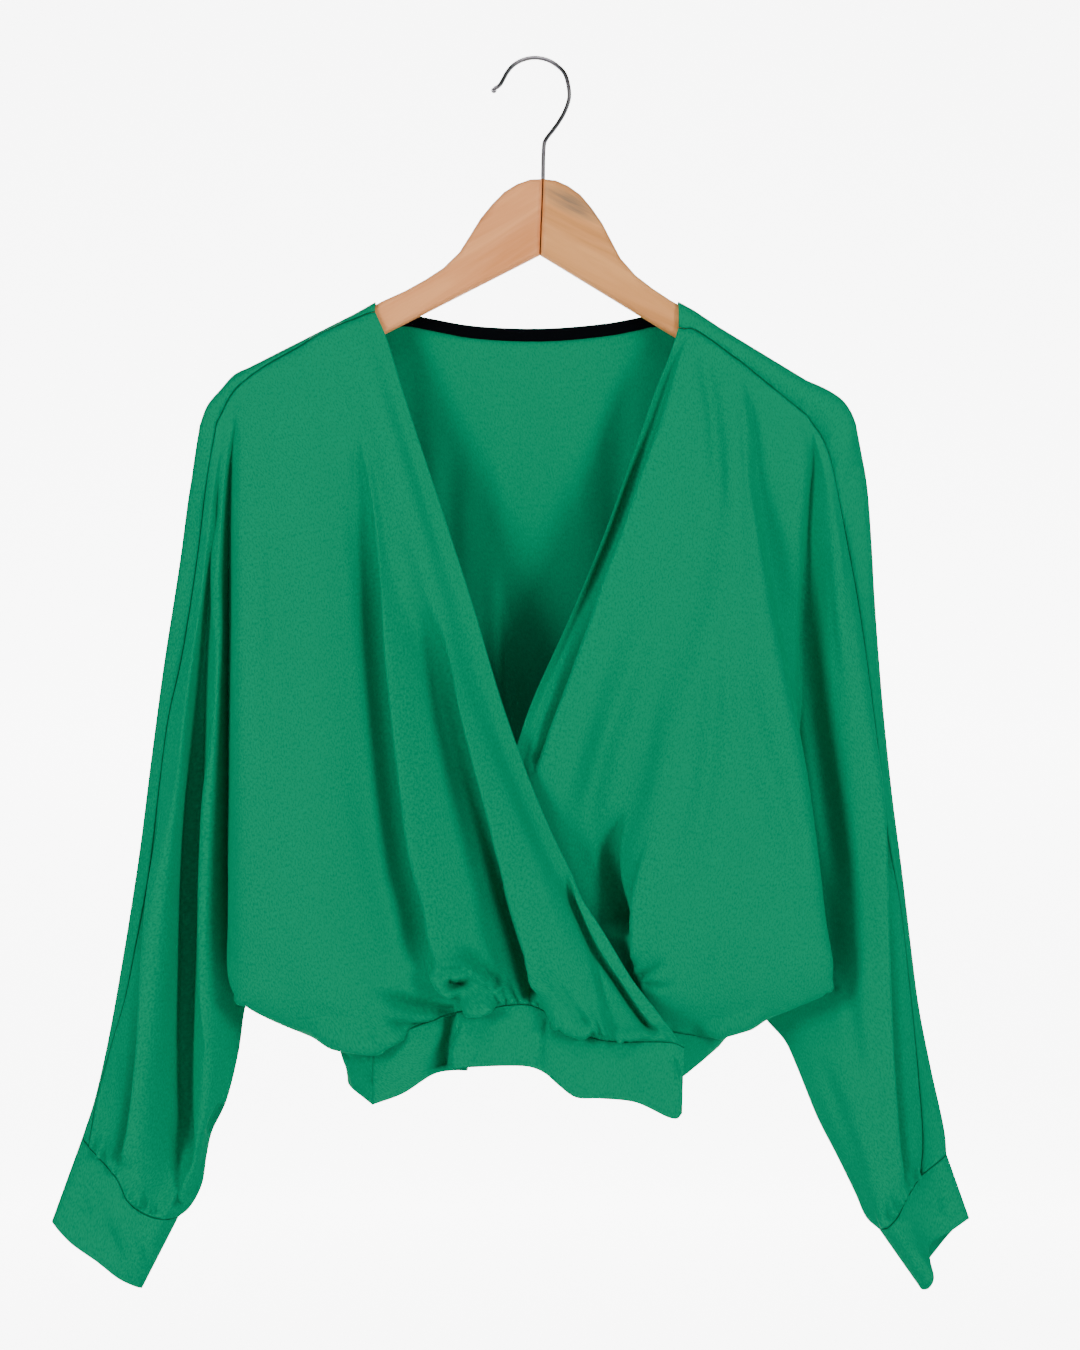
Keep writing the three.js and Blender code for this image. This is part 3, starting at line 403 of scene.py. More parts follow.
def shoulder_cap(seam, body_columns, tip_line):
    """The back's part from the forward seam over the arm and down behind it."""
    top = np.stack([seam[:, 0], 0 * seam[:, 0], ABOVE_ARM - arm_top_drop(seam[:, 0])], axis=1)
    sleeve_columns = len(seam) - 1 - body_columns
    tip = np.array([(top[body_columns, 0], 0, top[body_columns, 2]), *((x, 0, -drop) for x, drop in tip_line[1:])])
    top[body_columns:] = through(tip, np.linspace(0, 1, sleeve_columns + 1))
    inwards = (seam - top) * (1, 0, 1)
    inwards /= np.linalg.norm(inwards, axis=1, keepdims=True)
    rings = [seam]
    for front, down in CAP_OVER_ARM:
        ring = top + down * inwards
        ring[:, 1] = -front
        rings.append(ring)
    return through(np.stack(rings), np.linspace(0, 1, CAP_ROWS + 1))


def sleeve_wrap(overarm, outline, cap_end, inwards):
    """The back's part round the outside of a sleeve, from the overarm seam to behind it."""
    edge = smooth_line(outline, SLEEVE_STEPS)
    inside, behind = (edge + np.array(step) * (inwards, 1, 1) for step in (WRAP_INSIDE, WRAP_BEHIND))
    curve = through(np.stack([overarm, edge, inside, behind]), np.linspace(0, 1, len(cap_end)))
    curve = curve.transpose(1, 0, 2) - overarm[:, None]
    below = BELOW_TOP[:, None, None]
    return overarm[:, None] + (1 - below) * (cap_end - cap_end[0])[None] + below * curve


def sleeve_back(outer, inner, top_row):
    """The back of a sleeve, from behind its outer edge to the dip and underarm it shares."""
    part = np.linspace(0, 1, len(top_row))[None, :, None]
    chord = outer[:, None] * (1 - part) + inner[:, None] * part
    sag = top_row[None] - (top_row[0] * (1 - part) + top_row[-1] * part)
    stations = np.array(SLEEVE_SWELL, float)[:, None]
    swell = through(stations, part.ravel())[None]
    rows = SLEEVE_STEPS * CAD_SLEEVE_ROWS
    amount = np.minimum(1, rows / 5) * (1 - 0.55 * SLEEVE_STEPS**3)
    below = BELOW_TOP[:, None, None]
    return chord + (1 - below) * sag + amount[:, None, None] * swell * (0, 1, 0)


def fold_height(across, part):
    """How far the soft folds of the back stand out."""
    height = np.zeros_like(across)
    for _, top, waist, width, out in BACK_FOLDS:
        away = np.clip(abs(across - (top + (waist - top) * part)) / width, 0, 1)
        height += out * np.cos(away * math.pi / 2) ** 2
    return height


def body_back(top_row, bottom_row, left_dip, right_dip):
    """The back between its two dips: straight down from shoulders and neck, swelled and folded."""
    part = BODY_STEPS[:, None, None]
    sheet = top_row[None] * (1 - part) + bottom_row[None] * part
    level = np.maximum(bottom_row[:, 1], BACK_LEVEL)[None]
    down = BODY_STEPS[:, None]
    turn_in = (bottom_row[None, :, 1] - level) * down**WAIST_TURN
    sheet[:, :, 1] = top_row[None, :, 1] * (1 - down) + level * down + turn_in
    columns = len(top_row)
    for dip, side in ((left_dip, 0), (right_dip, columns - 1)):
        from_side = abs(np.arange(columns) - side) * 2 / BETWEEN
        straight = top_row[side] * (1 - part[:, 0]) + dip[-1] * part[:, 0]
        hold = np.clip(1 - from_side / DIP_REACH, 0, 1) ** 2
        sheet += (dip - straight)[:, None] * hold[None, :, None]
    from_side = np.minimum(np.arange(columns), columns - 1 - np.arange(columns)) * 2 / BETWEEN
    swell = np.sin(math.pi * down) * np.minimum(1, from_side / 3)[None]
    held = np.sin(math.pi * np.minimum(1, down * 1.02))
    inside = (from_side > 0)[None]
    bulge = swell * (BACK_SWELL[0] + BACK_SWELL[1] * down) + held * fold_height(sheet[:, :, 0], down)
    sheet[:, :, 1] += inside * bulge
    return sheet


# %% [markdown]
# ## Waistband, cuffs and binding
# The waistband is a double strip that hangs limp from the gathers. It is one length round the body,
# with ends that pass each other in front. A cuff is a wide tube, flat and a little twisted.

# %% Bands, cuffs and the neck's binding
BAND_STEPS = np.linspace(0, 1, 49)
CUFF_STEPS = np.linspace(0, 1, 65)
BINDING_INSIDE = 1.1


def band(top_row, hem):
    part = BAND_STEPS[:, None, None]
    return top_row[None] * (1 - part) + hem[None] * part


def cuff(ring, hem_stations, front_spans, hem_corner):
    """A cuff from the sleeve's end ring to its hem; both start at the inner corner."""
    index = np.arange(len(ring))
    front = hem_corner * index / front_spans
    behind = hem_corner + (1 - hem_corner) * (index - front_spans) / (len(ring) - front_spans)
    hem = through(places(hem_stations), np.where(index <= front_spans, front, behind), closed=True)
    part = CUFF_STEPS[:, None, None]
    sheet = ring[None] * (1 - part) + hem[None] * part
    return np.concatenate([sheet, sheet[:, :1]], axis=1)


def neck_binding(top_row, next_row):
    """A narrow binding on the inside of the back's neck edge."""
    down = next_row - top_row
    down /= np.linalg.norm(down, axis=1, keepdims=True)
    part = np.linspace(0.04, 1, 7)[:, None, None]
    return top_row[None] + BINDING_WIDTH * part * down[None] - (0, BINDING_INSIDE, 0)


# %% [markdown]
# ## The whole garment as sheets
# Every panel starts as a sheet one point thick. Panels that are sewn together share the points of
# their seam, so nothing gapes when creases are pressed in later.

# %% Lay out the panels
over = body_front(OVER_FOLDS)
under = body_front(UNDER_FOLDS)
left_front = sleeve_front(LEFT_SLEEVE, over[:, -1])
right_front = sleeve_front(RIGHT_SLEEVE, under[:, -1])
over_last = over.shape[1] - 1
under_last = under.shape[1] - 1
left_cap = shoulder_cap(np.concatenate([over[0], left_front[0, 1:]]), over_last, LEFT_TIP_OUTLINE)
right_cap = shoulder_cap(np.concatenate([under[0], right_front[0, 1:]]), under_last, RIGHT_TIP_OUTLINE)
left_wrap = sleeve_wrap(left_front[:, -1], LEFT_OUTLINE, left_cap[:, -1], 1)
right_wrap = sleeve_wrap(right_front[:, -1], RIGHT_OUTLINE, right_cap[:, -1], -1)


def back_dip(cap_point, stations):
    start = (cap_point[0], -cap_point[2], -cap_point[1])
    return smooth_line([start, *stations], BODY_STEPS)


left_dip = back_dip(left_cap[-1, over_last], LEFT_BACK_DIP)
right_dip = back_dip(right_cap[-1, under_last], RIGHT_BACK_DIP)
left_back = sleeve_back(
    left_wrap[:, -1], np.concatenate([left_dip, left_front[BODY_ROWS + 1:, 0]]), left_cap[-1, over_last:][::-1])
right_back = sleeve_back(
    right_wrap[:, -1], np.concatenate([right_dip, right_front[BODY_ROWS + 1:, 0]]), right_cap[-1, under_last:][::-1])

neck_ends = [left_cap[-1, 0], *places(BACK_NECK), right_cap[-1, 0]]
neck_row = through(neck_ends, np.linspace(0, 1, 8 * 4 + 1))
top_row = np.concatenate([left_cap[-1, :over_last + 1][::-1], neck_row[1:-1], right_cap[-1, :under_last + 1]])
over_waist = list(OVER_FOLDS).index("outer_panel") * BETWEEN
under_waist = list(UNDER_FOLDS).index("broad_panel") * BETWEEN
waist_spans = len(top_row) - 1 - (over_last - over_waist) - (under_last - under_waist)
back_waist = smooth_line(BACK_WAIST, np.linspace(0, 1, waist_spans + 1))
bottom_row = np.concatenate([
    left_dip[-1:], over[-1, over_waist:over_last][::-1], back_waist[1:-1],
    under[-1, under_waist:under_last], right_dip[-1:]])
middle = body_back(top_row, bottom_row, left_dip, right_dip)

binding_columns = slice(over_last, over_last + len(neck_row))
binding = neck_binding(middle[0, binding_columns], middle[2, binding_columns])
over_end = over_waist - BETWEEN
over_band = band(over[-1, :over_end + 1], through(places(BAND_OVER_HEM), np.linspace(0, 1, over_end + 1)))
under_band = band(under[-1, :under_waist + 1], through(places(BAND_UNDER_HEM), np.linspace(0, 1, under_waist + 1)))
back_top = np.concatenate([over[-1, over_end:over_waist], back_waist])
back_band = band(back_top, smooth_line(BAND_BACK_HEM, np.linspace(0, 1, len(back_top))))


def end_ring(front, wrap, back):
    return np.concatenate([front[-1], wrap[-1, 1:], back[-1, 1:-1]])


front_spans = [sheet.shape[1] - 1 + round(0.4 * CAP_ROWS) for sheet in (left_front, right_front)]
left_cuff = cuff(end_ring(left_front, left_wrap, left_back), LEFT_CUFF_HEM, front_spans[0], 0.5)
right_cuff = cuff(end_ring(right_front, right_wrap, right_back), RIGHT_CUFF_HEM, front_spans[1], 0.6)
print("front over:", over.shape, "back:", middle.shape)

# %% [markdown]
# ## Which sheets make which piece
# Each piece is one cut of cloth. A sheet that is turned has its outer face the other way round, and
# the sides named are those that are sewn, so that the seam's line and puckers can be drawn there.

# %% The cut pieces
PIECES = {
    "front_over": [(over, False, "top bottom"), (left_front, False, "top right bottom underarm")],
    "front_under": [(under, True, "top bottom"), (right_front, True, "top right bottom underarm")],
    "back": [
        (left_cap, True, "top"), (right_cap, False, "top"),
        (left_wrap, False, "left bottom"), (right_wrap, True, "left bottom"),
        (left_back, False, "bottom underarm_right"), (right_back, True, "bottom underarm_right"),
        (middle, False, "bottom"),
    ],
    "band_over": [(over_band, False, "top")],
    "band_under": [(under_band, True, "top")],
    "band_back": [(back_band, False, "top")],
    "cuff_left": [(left_cuff, False, "top")],
    "cuff_right": [(right_cuff, True, "top")],
    "neck_binding": [(binding, False, "")],
}

# %% [markdown]
# ## Welding the sheets
# Sheets of one piece are welded along the lines they share. Every point gets one outward direction,
# added up over all pieces, so that two pieces still meet at their seam once they have thickness.

# %% Weld, measure seams, find outward directions
FAR = 99.0  # millimetres from a seam that count as far
WELD_GRID = 500  # points closer than 1/500 mm are one


def rulers(sheet):
    """Millimetres down from the first row and right from the first column, at each point."""
    down, right = np.zeros(sheet.shape[:2]), np.zeros(sheet.shape[:2])
    down[1:] = np.cumsum(np.linalg.norm(np.diff(sheet, axis=0), axis=2), axis=0)
    right[:, 1:] = np.cumsum(np.linalg.norm(np.diff(sheet, axis=1), axis=2), axis=1)
    return down, right


def key_rows(spots):
    return np.round(spots * WELD_GRID).astype(int)


def seam_distance(sheet, sides):
    """Millimetres from each point to the nearest sewn side of its sheet, FAR where there is none."""
    down, right = rulers(sheet)
    below_body = np.arange(len(sheet))[:, None] >= BODY_ROWS
    known = {
        "top": down, "bottom": down[-1:] - down, "left": right, "right": right[:, -1:] - right,
        "underarm": np.where(below_body, right, FAR),
        "underarm_right": np.where(below_body, right[:, -1:] - right, FAR),
    }
    return np.min([np.full(down.shape, FAR), *(known[side] for side in sides.split())], axis=0)


def weld(sheets):
    """One piece's points, its faces as corners of those points, their flat coordinates and seams."""
    spots, faces, flats, seams = [], [], [], []
    start = 0
    for sheet, turned, sides in sheets:
        rows, columns = sheet.shape[:2]
        down, right = rulers(sheet)
        middle_column = right - right[:, columns // 2:columns // 2 + 1]
        index = start + np.arange(rows * columns).reshape(rows, columns)
        corners = [index[:-1, :-1], index[:-1, 1:], index[1:, 1:], index[1:, :-1]]
        quads = np.stack([corner.ravel() for corner in (corners[::-1] if turned else corners)], axis=1)
        spots.append(sheet.reshape(-1, 3))
        flats.append(np.stack([middle_column, down], axis=2).reshape(-1, 2))
        seams.append(seam_distance(sheet, sides).ravel())
        faces.append(quads)
        start += rows * columns
    spots, flats, seams, faces = (np.concatenate(part) for part in (spots, flats, seams, faces))
    _, first, same = np.unique(key_rows(spots), axis=0, return_index=True, return_inverse=True)
    same = same.ravel()
    nearest = np.full(len(first), FAR)
    np.minimum.at(nearest, same, seams)
    return {"spots": spots[first], "corners": same[faces], "flats": flats[faces], "seam": nearest}


def facing(piece):
    """The sum of the facing directions round each point of one piece."""
    spots, corners = piece["spots"], piece["corners"]
    a, b, c, d = (spots[corners[:, step]] for step in range(4))
    normal = np.cross(c - a, d - b)
    total = np.zeros_like(spots)
    for step in range(4):
        np.add.at(total, corners[:, step], normal)
    return total


def share_directions(pieces):
    """Unit outward directions, the same for all pieces that share a point."""
    totals = [facing(piece) for piece in pieces]
    keys = np.concatenate([piece["keys"] for piece in pieces])
    _, same = np.unique(keys, axis=0, return_inverse=True)
    same = same.ravel()
    shared = np.zeros((same.max() + 1, 3))
    np.add.at(shared, same, np.concatenate(totals))
    shared /= np.maximum(np.linalg.norm(shared, axis=1, keepdims=True), 1e-9)
    ends = np.cumsum([0, *(len(piece["spots"]) for piece in pieces)])
    for piece, start, end in zip(pieces, ends, ends[1:]):
        piece["out"] = shared[same[start:end]]


cloth = {name: weld(sheets) for name, sheets in PIECES.items()}
for piece in cloth.values():
    piece["keys"] = key_rows(piece["spots"])
share_directions(list(cloth.values()))
print("points:", {name: len(piece["spots"]) for name, piece in cloth.items()})

# %% [markdown]
# ## Pressing in the creases
# Between the large folds the jersey has softer ones. Each is a trough or a ridge along its own line,
# with its own width to either side, and it fades towards its ends. They were placed as pixels
# of the picture, which is 1080 pixels wide, and are turned into millimetres here. No two are alike.

# %% Creases
def smooth(value):
    value = np.clip(value, 0, 1)
    return value * value * (3 - 2 * value)


def crease_hill(across, drop, line, width, fade):
    """How strongly one crease acts at places of a panel, 0 to 1; width is (viewer's left, right)."""
    stations = np.array(line, float)
    path = through(stations, np.linspace(0, 1, 8 * len(stations)))
    reach = max(width)
    low, high = path.min(axis=0) - reach, path.max(axis=0) + reach
    near = (across > low[0]) & (across < high[0]) & (drop > low[1]) & (drop < high[1])
    added = np.zeros_like(across)
    spot = np.stack([across[near], drop[near]], axis=1)[:, None]
    start, step = path[:-1][None], np.diff(path, axis=0)[None]
    length = np.linalg.norm(step, axis=2)
    part = np.clip(((spot - start) * step).sum(axis=2) / length**2, 0, 1)
    away = spot - (start + part[..., None] * step)
    distance = np.linalg.norm(away, axis=2)
    best = distance.argmin(axis=1)
    rows = np.arange(len(best))
    along = (np.cumsum(length[0]) - length[0])[best] + part[rows, best] * length[0][best]
    along /= length.sum()
    turn = step[0, best, 0] * away[rows, best, 1] - step[0, best, 1] * away[rows, best, 0]
    side = np.where(turn > 0, width[0], width[1])  # drop grows downwards
    hill = np.cos(np.clip(distance[rows, best] / side, 0, 1) * math.pi / 2) ** 2
    ends = smooth(along / max(fade[0], 1e-3)) * smooth((1 - along) / max(fade[1], 1e-3))
    added[near] = hill * ends
    return added


PIXEL = 0.705  # millimetres to one pixel of the 1080 x 1350 picture
MIDDLE_COLUMN, TOP_ROW = 534.5, 59.7  # the pixel where across and drop are 0


def from_picture(column, row):
    """A pixel as (across, drop) in millimetres, to a tenth."""
    return round((column - MIDDLE_COLUMN) * PIXEL, 1), round((row - TOP_ROW) * PIXEL, 1)


def crease(piece, stations, width, height, fade, right=0, shift=(0, 0)):
    """A trough or ridge along pixels, all moved `right` by some pixels; shift carries its cloth."""
    return piece, width, height, shift, fade, [from_picture(column + right, row) for column, row in stations]


def lip(piece, stations, width, height, shift, fade):
    """The edge of a fold: its crest lies back by the shift, which then carries it to the pixels."""
    across, drop = shift
    back = [(round(x - across, 1), round(z - drop, 1)) for x, z in (from_picture(*at) for at in stations)]
    return piece, width, height, shift, fade, back


FIRST_FOLD = [
    (366, 436), (373, 525), (380, 581), (389, 673), (398, 754), (413, 860), (423, 898), (433, 952), (437, 973)]
SECOND_FOLD = [
    (423, 591), (449, 662), (462, 717), (476, 770), (490, 821), (500, 860), (510, 898), (523, 941), (532, 978),
    (538, 997)]
STRAP = [(564, 869), (579, 902), (597, 941), (620, 975), (644, 1010), (662, 1030)]
ROLLED_EDGE = [
    (687, 334), (672, 387), (660, 423), (641, 473), (619, 540), (602, 585), (590, 622), (574, 666), (562, 699),
    (551, 728), (536, 775)]
LEFT_TUBE = [(164, 770), (153.6, 873.6), (146.7, 966.6), (139.9, 1063), (131, 1132), (121, 1168)]
RIGHT_TUBE = [(872, 700), (879.5, 760), (883, 832), (886, 932), (891.5, 1070), (900, 1170), (906, 1192)]

OVER, UNDER = "front_over", "front_under"
CREASES = {
    "first fold lip": lip(OVER, FIRST_FOLD, (5, 16), 3, (-6, 0), (0.4, 0.08)),
    "first fold valley": crease(OVER, FIRST_FOLD, (21, 5), -9, (0.35, 0.1), right=-3),
    "second fold lip": lip(OVER, SECOND_FOLD, (5, 16), 3, (-7, 0), (0.25, 0.05)),
    "second fold valley": crease(OVER, SECOND_FOLD, (9, 4), -12, (0.35, 0.03), right=-3),
    "second fold shade": crease(OVER, [*SECOND_FOLD[:5], (503, 880)], (24, 7), -5, (0.3, 0.4), right=-3),
    "strap lip": lip(OVER, STRAP, (3, 6), 2, (-2.6, 1.2), (0.2, 0.1)),
    "strap valley": crease(OVER, STRAP, (7, 3), -6, (0.2, 0.1), right=-3),
    "side panel shade": crease(OVER, [(281, 470), (280, 560), (279, 700), (285, 820)], (14, 18), -2.5, (0.4, 0.4)),
    "shoulder soft": crease(OVER, [(347, 395), (356, 430), (359, 470), (362, 520)], (7, 9), -2.5, (0.3, 0.5)),
    "by the first fold": crease(
        OVER, [(352, 700), (362, 780), (374, 850), (392, 930), (402, 975)], (14, 10), -1.6, (0.5, 0.2)),
    "chest ridge": crease(OVER, [(395, 430), (412, 520), (436, 610), (462, 690)], (12, 14), 1, (0.5, 0.5)),
    "second fold start": crease(OVER, [(393, 500), (404, 545), (420, 600), (437, 660)], (9, 8), -1.5, (0.6, 0.3)),
    "small by the seam": crease(OVER, [(236, 396), (240, 420), (247, 452)], (5, 5), 2.2, (0.3, 0.5)),
    "low wrinkle one": crease(OVER, [(545, 940), (556, 975), (572, 1000), (590, 1024)], (5, 5), -2.6, (0.4, 0.1)),
    "low wrinkle two": crease(OVER, [(588, 925), (598, 970), (608, 1005), (616, 1030)], (5, 4), -3, (0.5, 0)),
    "low wrinkle three": crease(OVER, [(474, 880), (486, 925), (500, 965), (512, 994)], (5, 5), -2.2, (0.5, 0)),
    "curl ridge": crease(
        OVER, [(436, 960), (440, 974), (449, 985), (460, 989)], (4, 4), 5, (0.2, 0.2), shift=(0, 1)),
    "curl top": crease(
        OVER, [(441, 966), (451, 958), (464, 960), (478, 970), (492, 979), (506, 987)], (4, 6), 5, (0.2, 0.2),
        shift=(0, 2)),
    "curl hollow": crease(OVER, [(449, 977), (455, 981), (463, 979), (474, 981)], (5, 4), -11, (0.1, 0.4)),
    "above the curl": crease(OVER, [(455, 940), (472, 950), (488, 964), (503, 982)], (7, 5), -6, (0.4, 0.1)),
    "puff": crease(OVER, [(464, 993), (480, 998), (496, 993)], (10, 10), 10, (0.2, 0.2), shift=(0, 5)),
    "swag one": crease(OVER, [(368, 982), (398, 994), (431, 1003), (457, 1008)], (6, 6), -8, (0.5, 0.05)),
    "swag ridge": crease(OVER, [(376, 996), (405, 1010), (440, 1013)], (6, 5), 5, (0.4, 0.1)),
    "swag two": crease(OVER, [(374, 1006), (398, 1020), (425, 1021), (452, 1016)], (5, 5), -6, (0.5, 0.05)),
    "swag three": crease(OVER, [(366, 990), (373, 1012), (384, 1030), (402, 1038)], (5, 5), -2, (0.4, 0.4)),
    "long swag": crease(OVER, [(300, 1000), (340, 1012), (380, 1012)], (8, 8), -1.8, (0.4, 0.4)),
    "blouson corner": crease(
        OVER, [(236, 992), (240, 1000), (250, 1003)], (7, 7), 0, (0.3, 0.5), shift=(-2.5, 2.5)),
    "blouson left": crease(
        OVER, [(300, 1020), (345, 1034), (390, 1036), (430, 1020)], (9, 9), 5, (0.3, 0.2), shift=(0, 4)),
    "blouson middle": crease(
        OVER, [(545, 1003), (570, 1018), (594, 1026)], (9, 6), 4, (0.3, 0.2), shift=(-1, 3)),
    "blouson right": crease(
        OVER, [(594, 1024), (620, 1028), (650, 1026), (672, 1034)], (6, 5), 3, (0.3, 0.2), shift=(0, 2)),
    "blouson under": crease(
        UNDER, [(690, 1022), (715, 1026), (740, 1020), (770, 1008)], (9, 8), 4, (0.3, 0.3), shift=(0, 3)),
    "rolled edge lip": lip(UNDER, ROLLED_EDGE, (3, 9), 1.8, (-3, 0), (0.6, 0.05)),
    "rolled edge valley": crease(UNDER, ROLLED_EDGE, (7, 3), -6, (0.65, 0.05), right=-4),
    "under valley": crease(
        UNDER, [(664, 560), (640, 640), (618, 700), (600, 760), (590, 810), (596, 860), (608, 893), (618, 925)],
        (18, 14), -6, (0.45, 0)),
    "under deep": crease(
        UNDER, [(618, 800), (610, 850), (612, 885), (617, 905), (623, 936)], (14, 6), -18, (0.5, 0.1), right=2),
    "under lip": lip(
        UNDER, [(650, 815), (638, 858), (631, 897), (631, 942), (632, 966)], (5, 14), 3, (-4.5, 0), (0.6, 0.1)),
    "under soft": crease(UNDER, [(612, 700), (590, 780), (573, 837)], (12, 9), -2, (0.4, 0.4)),
    "middle trough": crease(
        UNDER, [(713, 600), (711, 707), (706, 770), (695, 827), (685, 876), (672, 915)], (13, 12), -3.5,
        (0.3, 0.4)),
    "right trough": crease(
        UNDER, [(717, 606), (745, 700), (772, 790), (795, 870), (800, 930)], (16, 14), -3.5, (0.4, 0.4)),
    "between ridge": crease(UNDER, [(676, 600), (670, 700), (655, 800), (648, 860)], (12, 16), 1.4, (0.5, 0.4)),
    "pinch ridge": crease(UNDER, [(633, 972), (642, 958), (657, 936)], (3, 4), 3, (0.1, 0.5)),
    "pinch trough one": crease(UNDER, [(635, 974), (652, 966), (668, 948)], (4, 5), -4, (0.1, 0.5)),
    "pinch trough two": crease(UNDER, [(640, 980), (660, 984), (680, 972)], (4, 6), -3, (0.1, 0.6)),
    "low soft": crease(UNDER, [(732, 915), (724, 955), (714, 988)], (14, 14), -2.5, (0.4, 0.3)),
    "shoulder trough": crease(UNDER, [(698, 345), (710, 400), (716, 470), (722, 540)], (7, 9), -2.5, (0.2, 0.5)),
    "shoulder ridge": crease(UNDER, [(735, 372), (746, 430), (752, 500)], (8, 6), 2, (0.3, 0.5)),
    "behind the second fold": crease(
        UNDER, [(462, 700), (476, 760), (490, 821), (500, 865), (510, 905), (523, 946), (533, 985)], (26, 14),
        -19, (0.1, 0.02), right=-2),
    "under corner": crease(
        UNDER, [(822, 982), (831, 987), (828, 992)], (7, 7), 0, (0.5, 0.5), shift=(3.2, 2.5)),
    "under the lap": crease(UNDER, [(560, 800), (580, 850), (598, 900)], (8, 8), -2.5, (0.3, 0.3)),
    "left tube lip": lip(OVER, LEFT_TUBE, (4, 12), 3, (-4, 0), (0.35, 0.05)),
    "left tube valley": crease(OVER, LEFT_TUBE, (8, 4), -4.5, (0.3, 0.05), right=-3),
    "left deep valley": crease(
        OVER, [(203, 640), (199, 720), (195, 790), (190, 880), (187, 966), (184.6, 1080), (187, 1150), (189, 1188)],
        (8, 7), -9, (0.4, 0.1)),
    "left inner lip": lip(
        OVER, [(212, 700), (206, 800), (202, 898), (202, 1001), (207, 1100)], (3, 8), 2.5, (-3, 0), (0.3, 0.3)),
    "left low trough": crease(OVER, [(177, 1105), (177.5, 1150), (179, 1205)], (5, 5), -4, (0.5, 0)),
    "left pinch": crease(OVER, [(224, 1100), (215, 1118), (208, 1140)], (5, 5), -3.5, (0.2, 0.4)),
    "left upper ridge": crease(OVER, [(212, 470), (214, 545), (218, 620), (220, 690)], (5, 5), 2.2, (0.3, 0.4)),
    "left middle ridge": crease(
        OVER, [(176, 800), (170, 900), (163, 1000), (158, 1100)], (8, 8), 1.8, (0.4, 0.4)),
    "left flat": crease(OVER, [(130, 960), (118, 1050), (112, 1120)], (6, 8), 1.6, (0.4, 0.3)),
    "right tube lip": lip(UNDER, RIGHT_TUBE, (10, 3), 2.2, (3, 0), (0.3, 0.05)),
    "right tube valley": crease(UNDER, RIGHT_TUBE, (3, 6), -4.5, (0.3, 0.05), right=4),
    "right shade": crease(
        UNDER, [(812, 520), (809, 620), (814, 720), (826, 810), (840, 880), (855, 930)], (9, 15), -5, (0.3, 0.4)),
    "right soft one": crease(UNDER, [(846, 960), (852, 1030), (862, 1100)], (10, 10), -2, (0.4, 0.4)),
    "right soft two": crease(UNDER, [(812, 1040), (832, 1090), (850, 1140), (866, 1185)], (8, 8), -2, (0.4, 0.2)),
    "right upper": crease(UNDER, [(832, 500), (838, 600), (848, 700)], (7, 7), 2, (0.4, 0.4)),
    "left cuff soft": crease("cuff_left", [(92, 1165), (98, 1205), (112, 1248)], (9, 9), 1.8, (0.3, 0.3)),
    "left cuff wrinkle": crease("cuff_left", [(112, 1212), (122, 1236), (132, 1262)], (5, 6), -2, (0.4, 0.3)),
    "left cuff dip": crease("cuff_left", [(72, 1196), (86, 1204), (104, 1206)], (6, 6), -1.4, (0.4, 0.4)),
    "left cuff low": crease("cuff_left", [(136, 1228), (146, 1246), (150, 1266)], (6, 6), -1.5, (0.4, 0.4)),
    "right cuff soft": crease("cuff_right", [(898, 1232), (908, 1252), (918, 1274)], (5, 5), 1.4, (0.3, 0.3)),
    "right cuff dip": crease("cuff_right", [(940, 1180), (944, 1200), (950, 1222)], (6, 6), -1.6, (0.3, 0.3)),
    "band lap lip": crease(
        "band_over", [(463, 1008), (459, 1035), (455, 1064)], (3, 16), 4, (0, 0), right=3, shift=(-4, 0)),
    "band lap valley": crease("band_over", [(460, 1008), (456, 1035), (452, 1064)], (9, 3), -7, (0, 0), right=-5),
    "band faint one": crease("band_over", [(547, 1012), (543, 1040), (540, 1062)], (3, 3), -1.6, (0.1, 0.1)),
    "band faint two": crease("band_over", [(492, 1012), (487, 1035), (482, 1055)], (8, 8), -1.5, (0.2, 0.2)),
    "band faint three": crease("band_over", [(622, 1045), (630, 1070), (640, 1092)], (9, 9), 1.6, (0.2, 0.2)),
    "band end wrinkle one": crease("band_over", [(668, 1046), (674, 1060), (676, 1078)], (3, 3), -1.6, (0.3, 0.3)),
    "band end wrinkle two": crease("band_over", [(682, 1050), (685, 1066), (682, 1086)], (2, 3), 1.2, (0.3, 0.3)),
    "band left wrinkle": crease("band_back", [(334, 1044), (346, 1054), (356, 1058)], (3, 3), -2, (0.2, 0.4)),
    "band side seam": crease(
        "band_back", [(365, 1056), (373, 1074), (382, 1092)], (1.6, 1.6), -0.9, (0.02, 0.02)),
    "inside fold": crease(
        "back", [(496, 430), (499, 510), (504, 590), (508, 660), (512, 730), (518, 840)], (13, 10), 8, (0.5, 0.5)),
    "inside shade": crease("back", [(455, 420), (448, 520), (452, 620)], (14, 14), 3, (0.4, 0.4)),
    "inside right": crease("back", [(590, 380), (585, 470), (574, 560)], (12, 12), -3, (0.4, 0.4)),
}

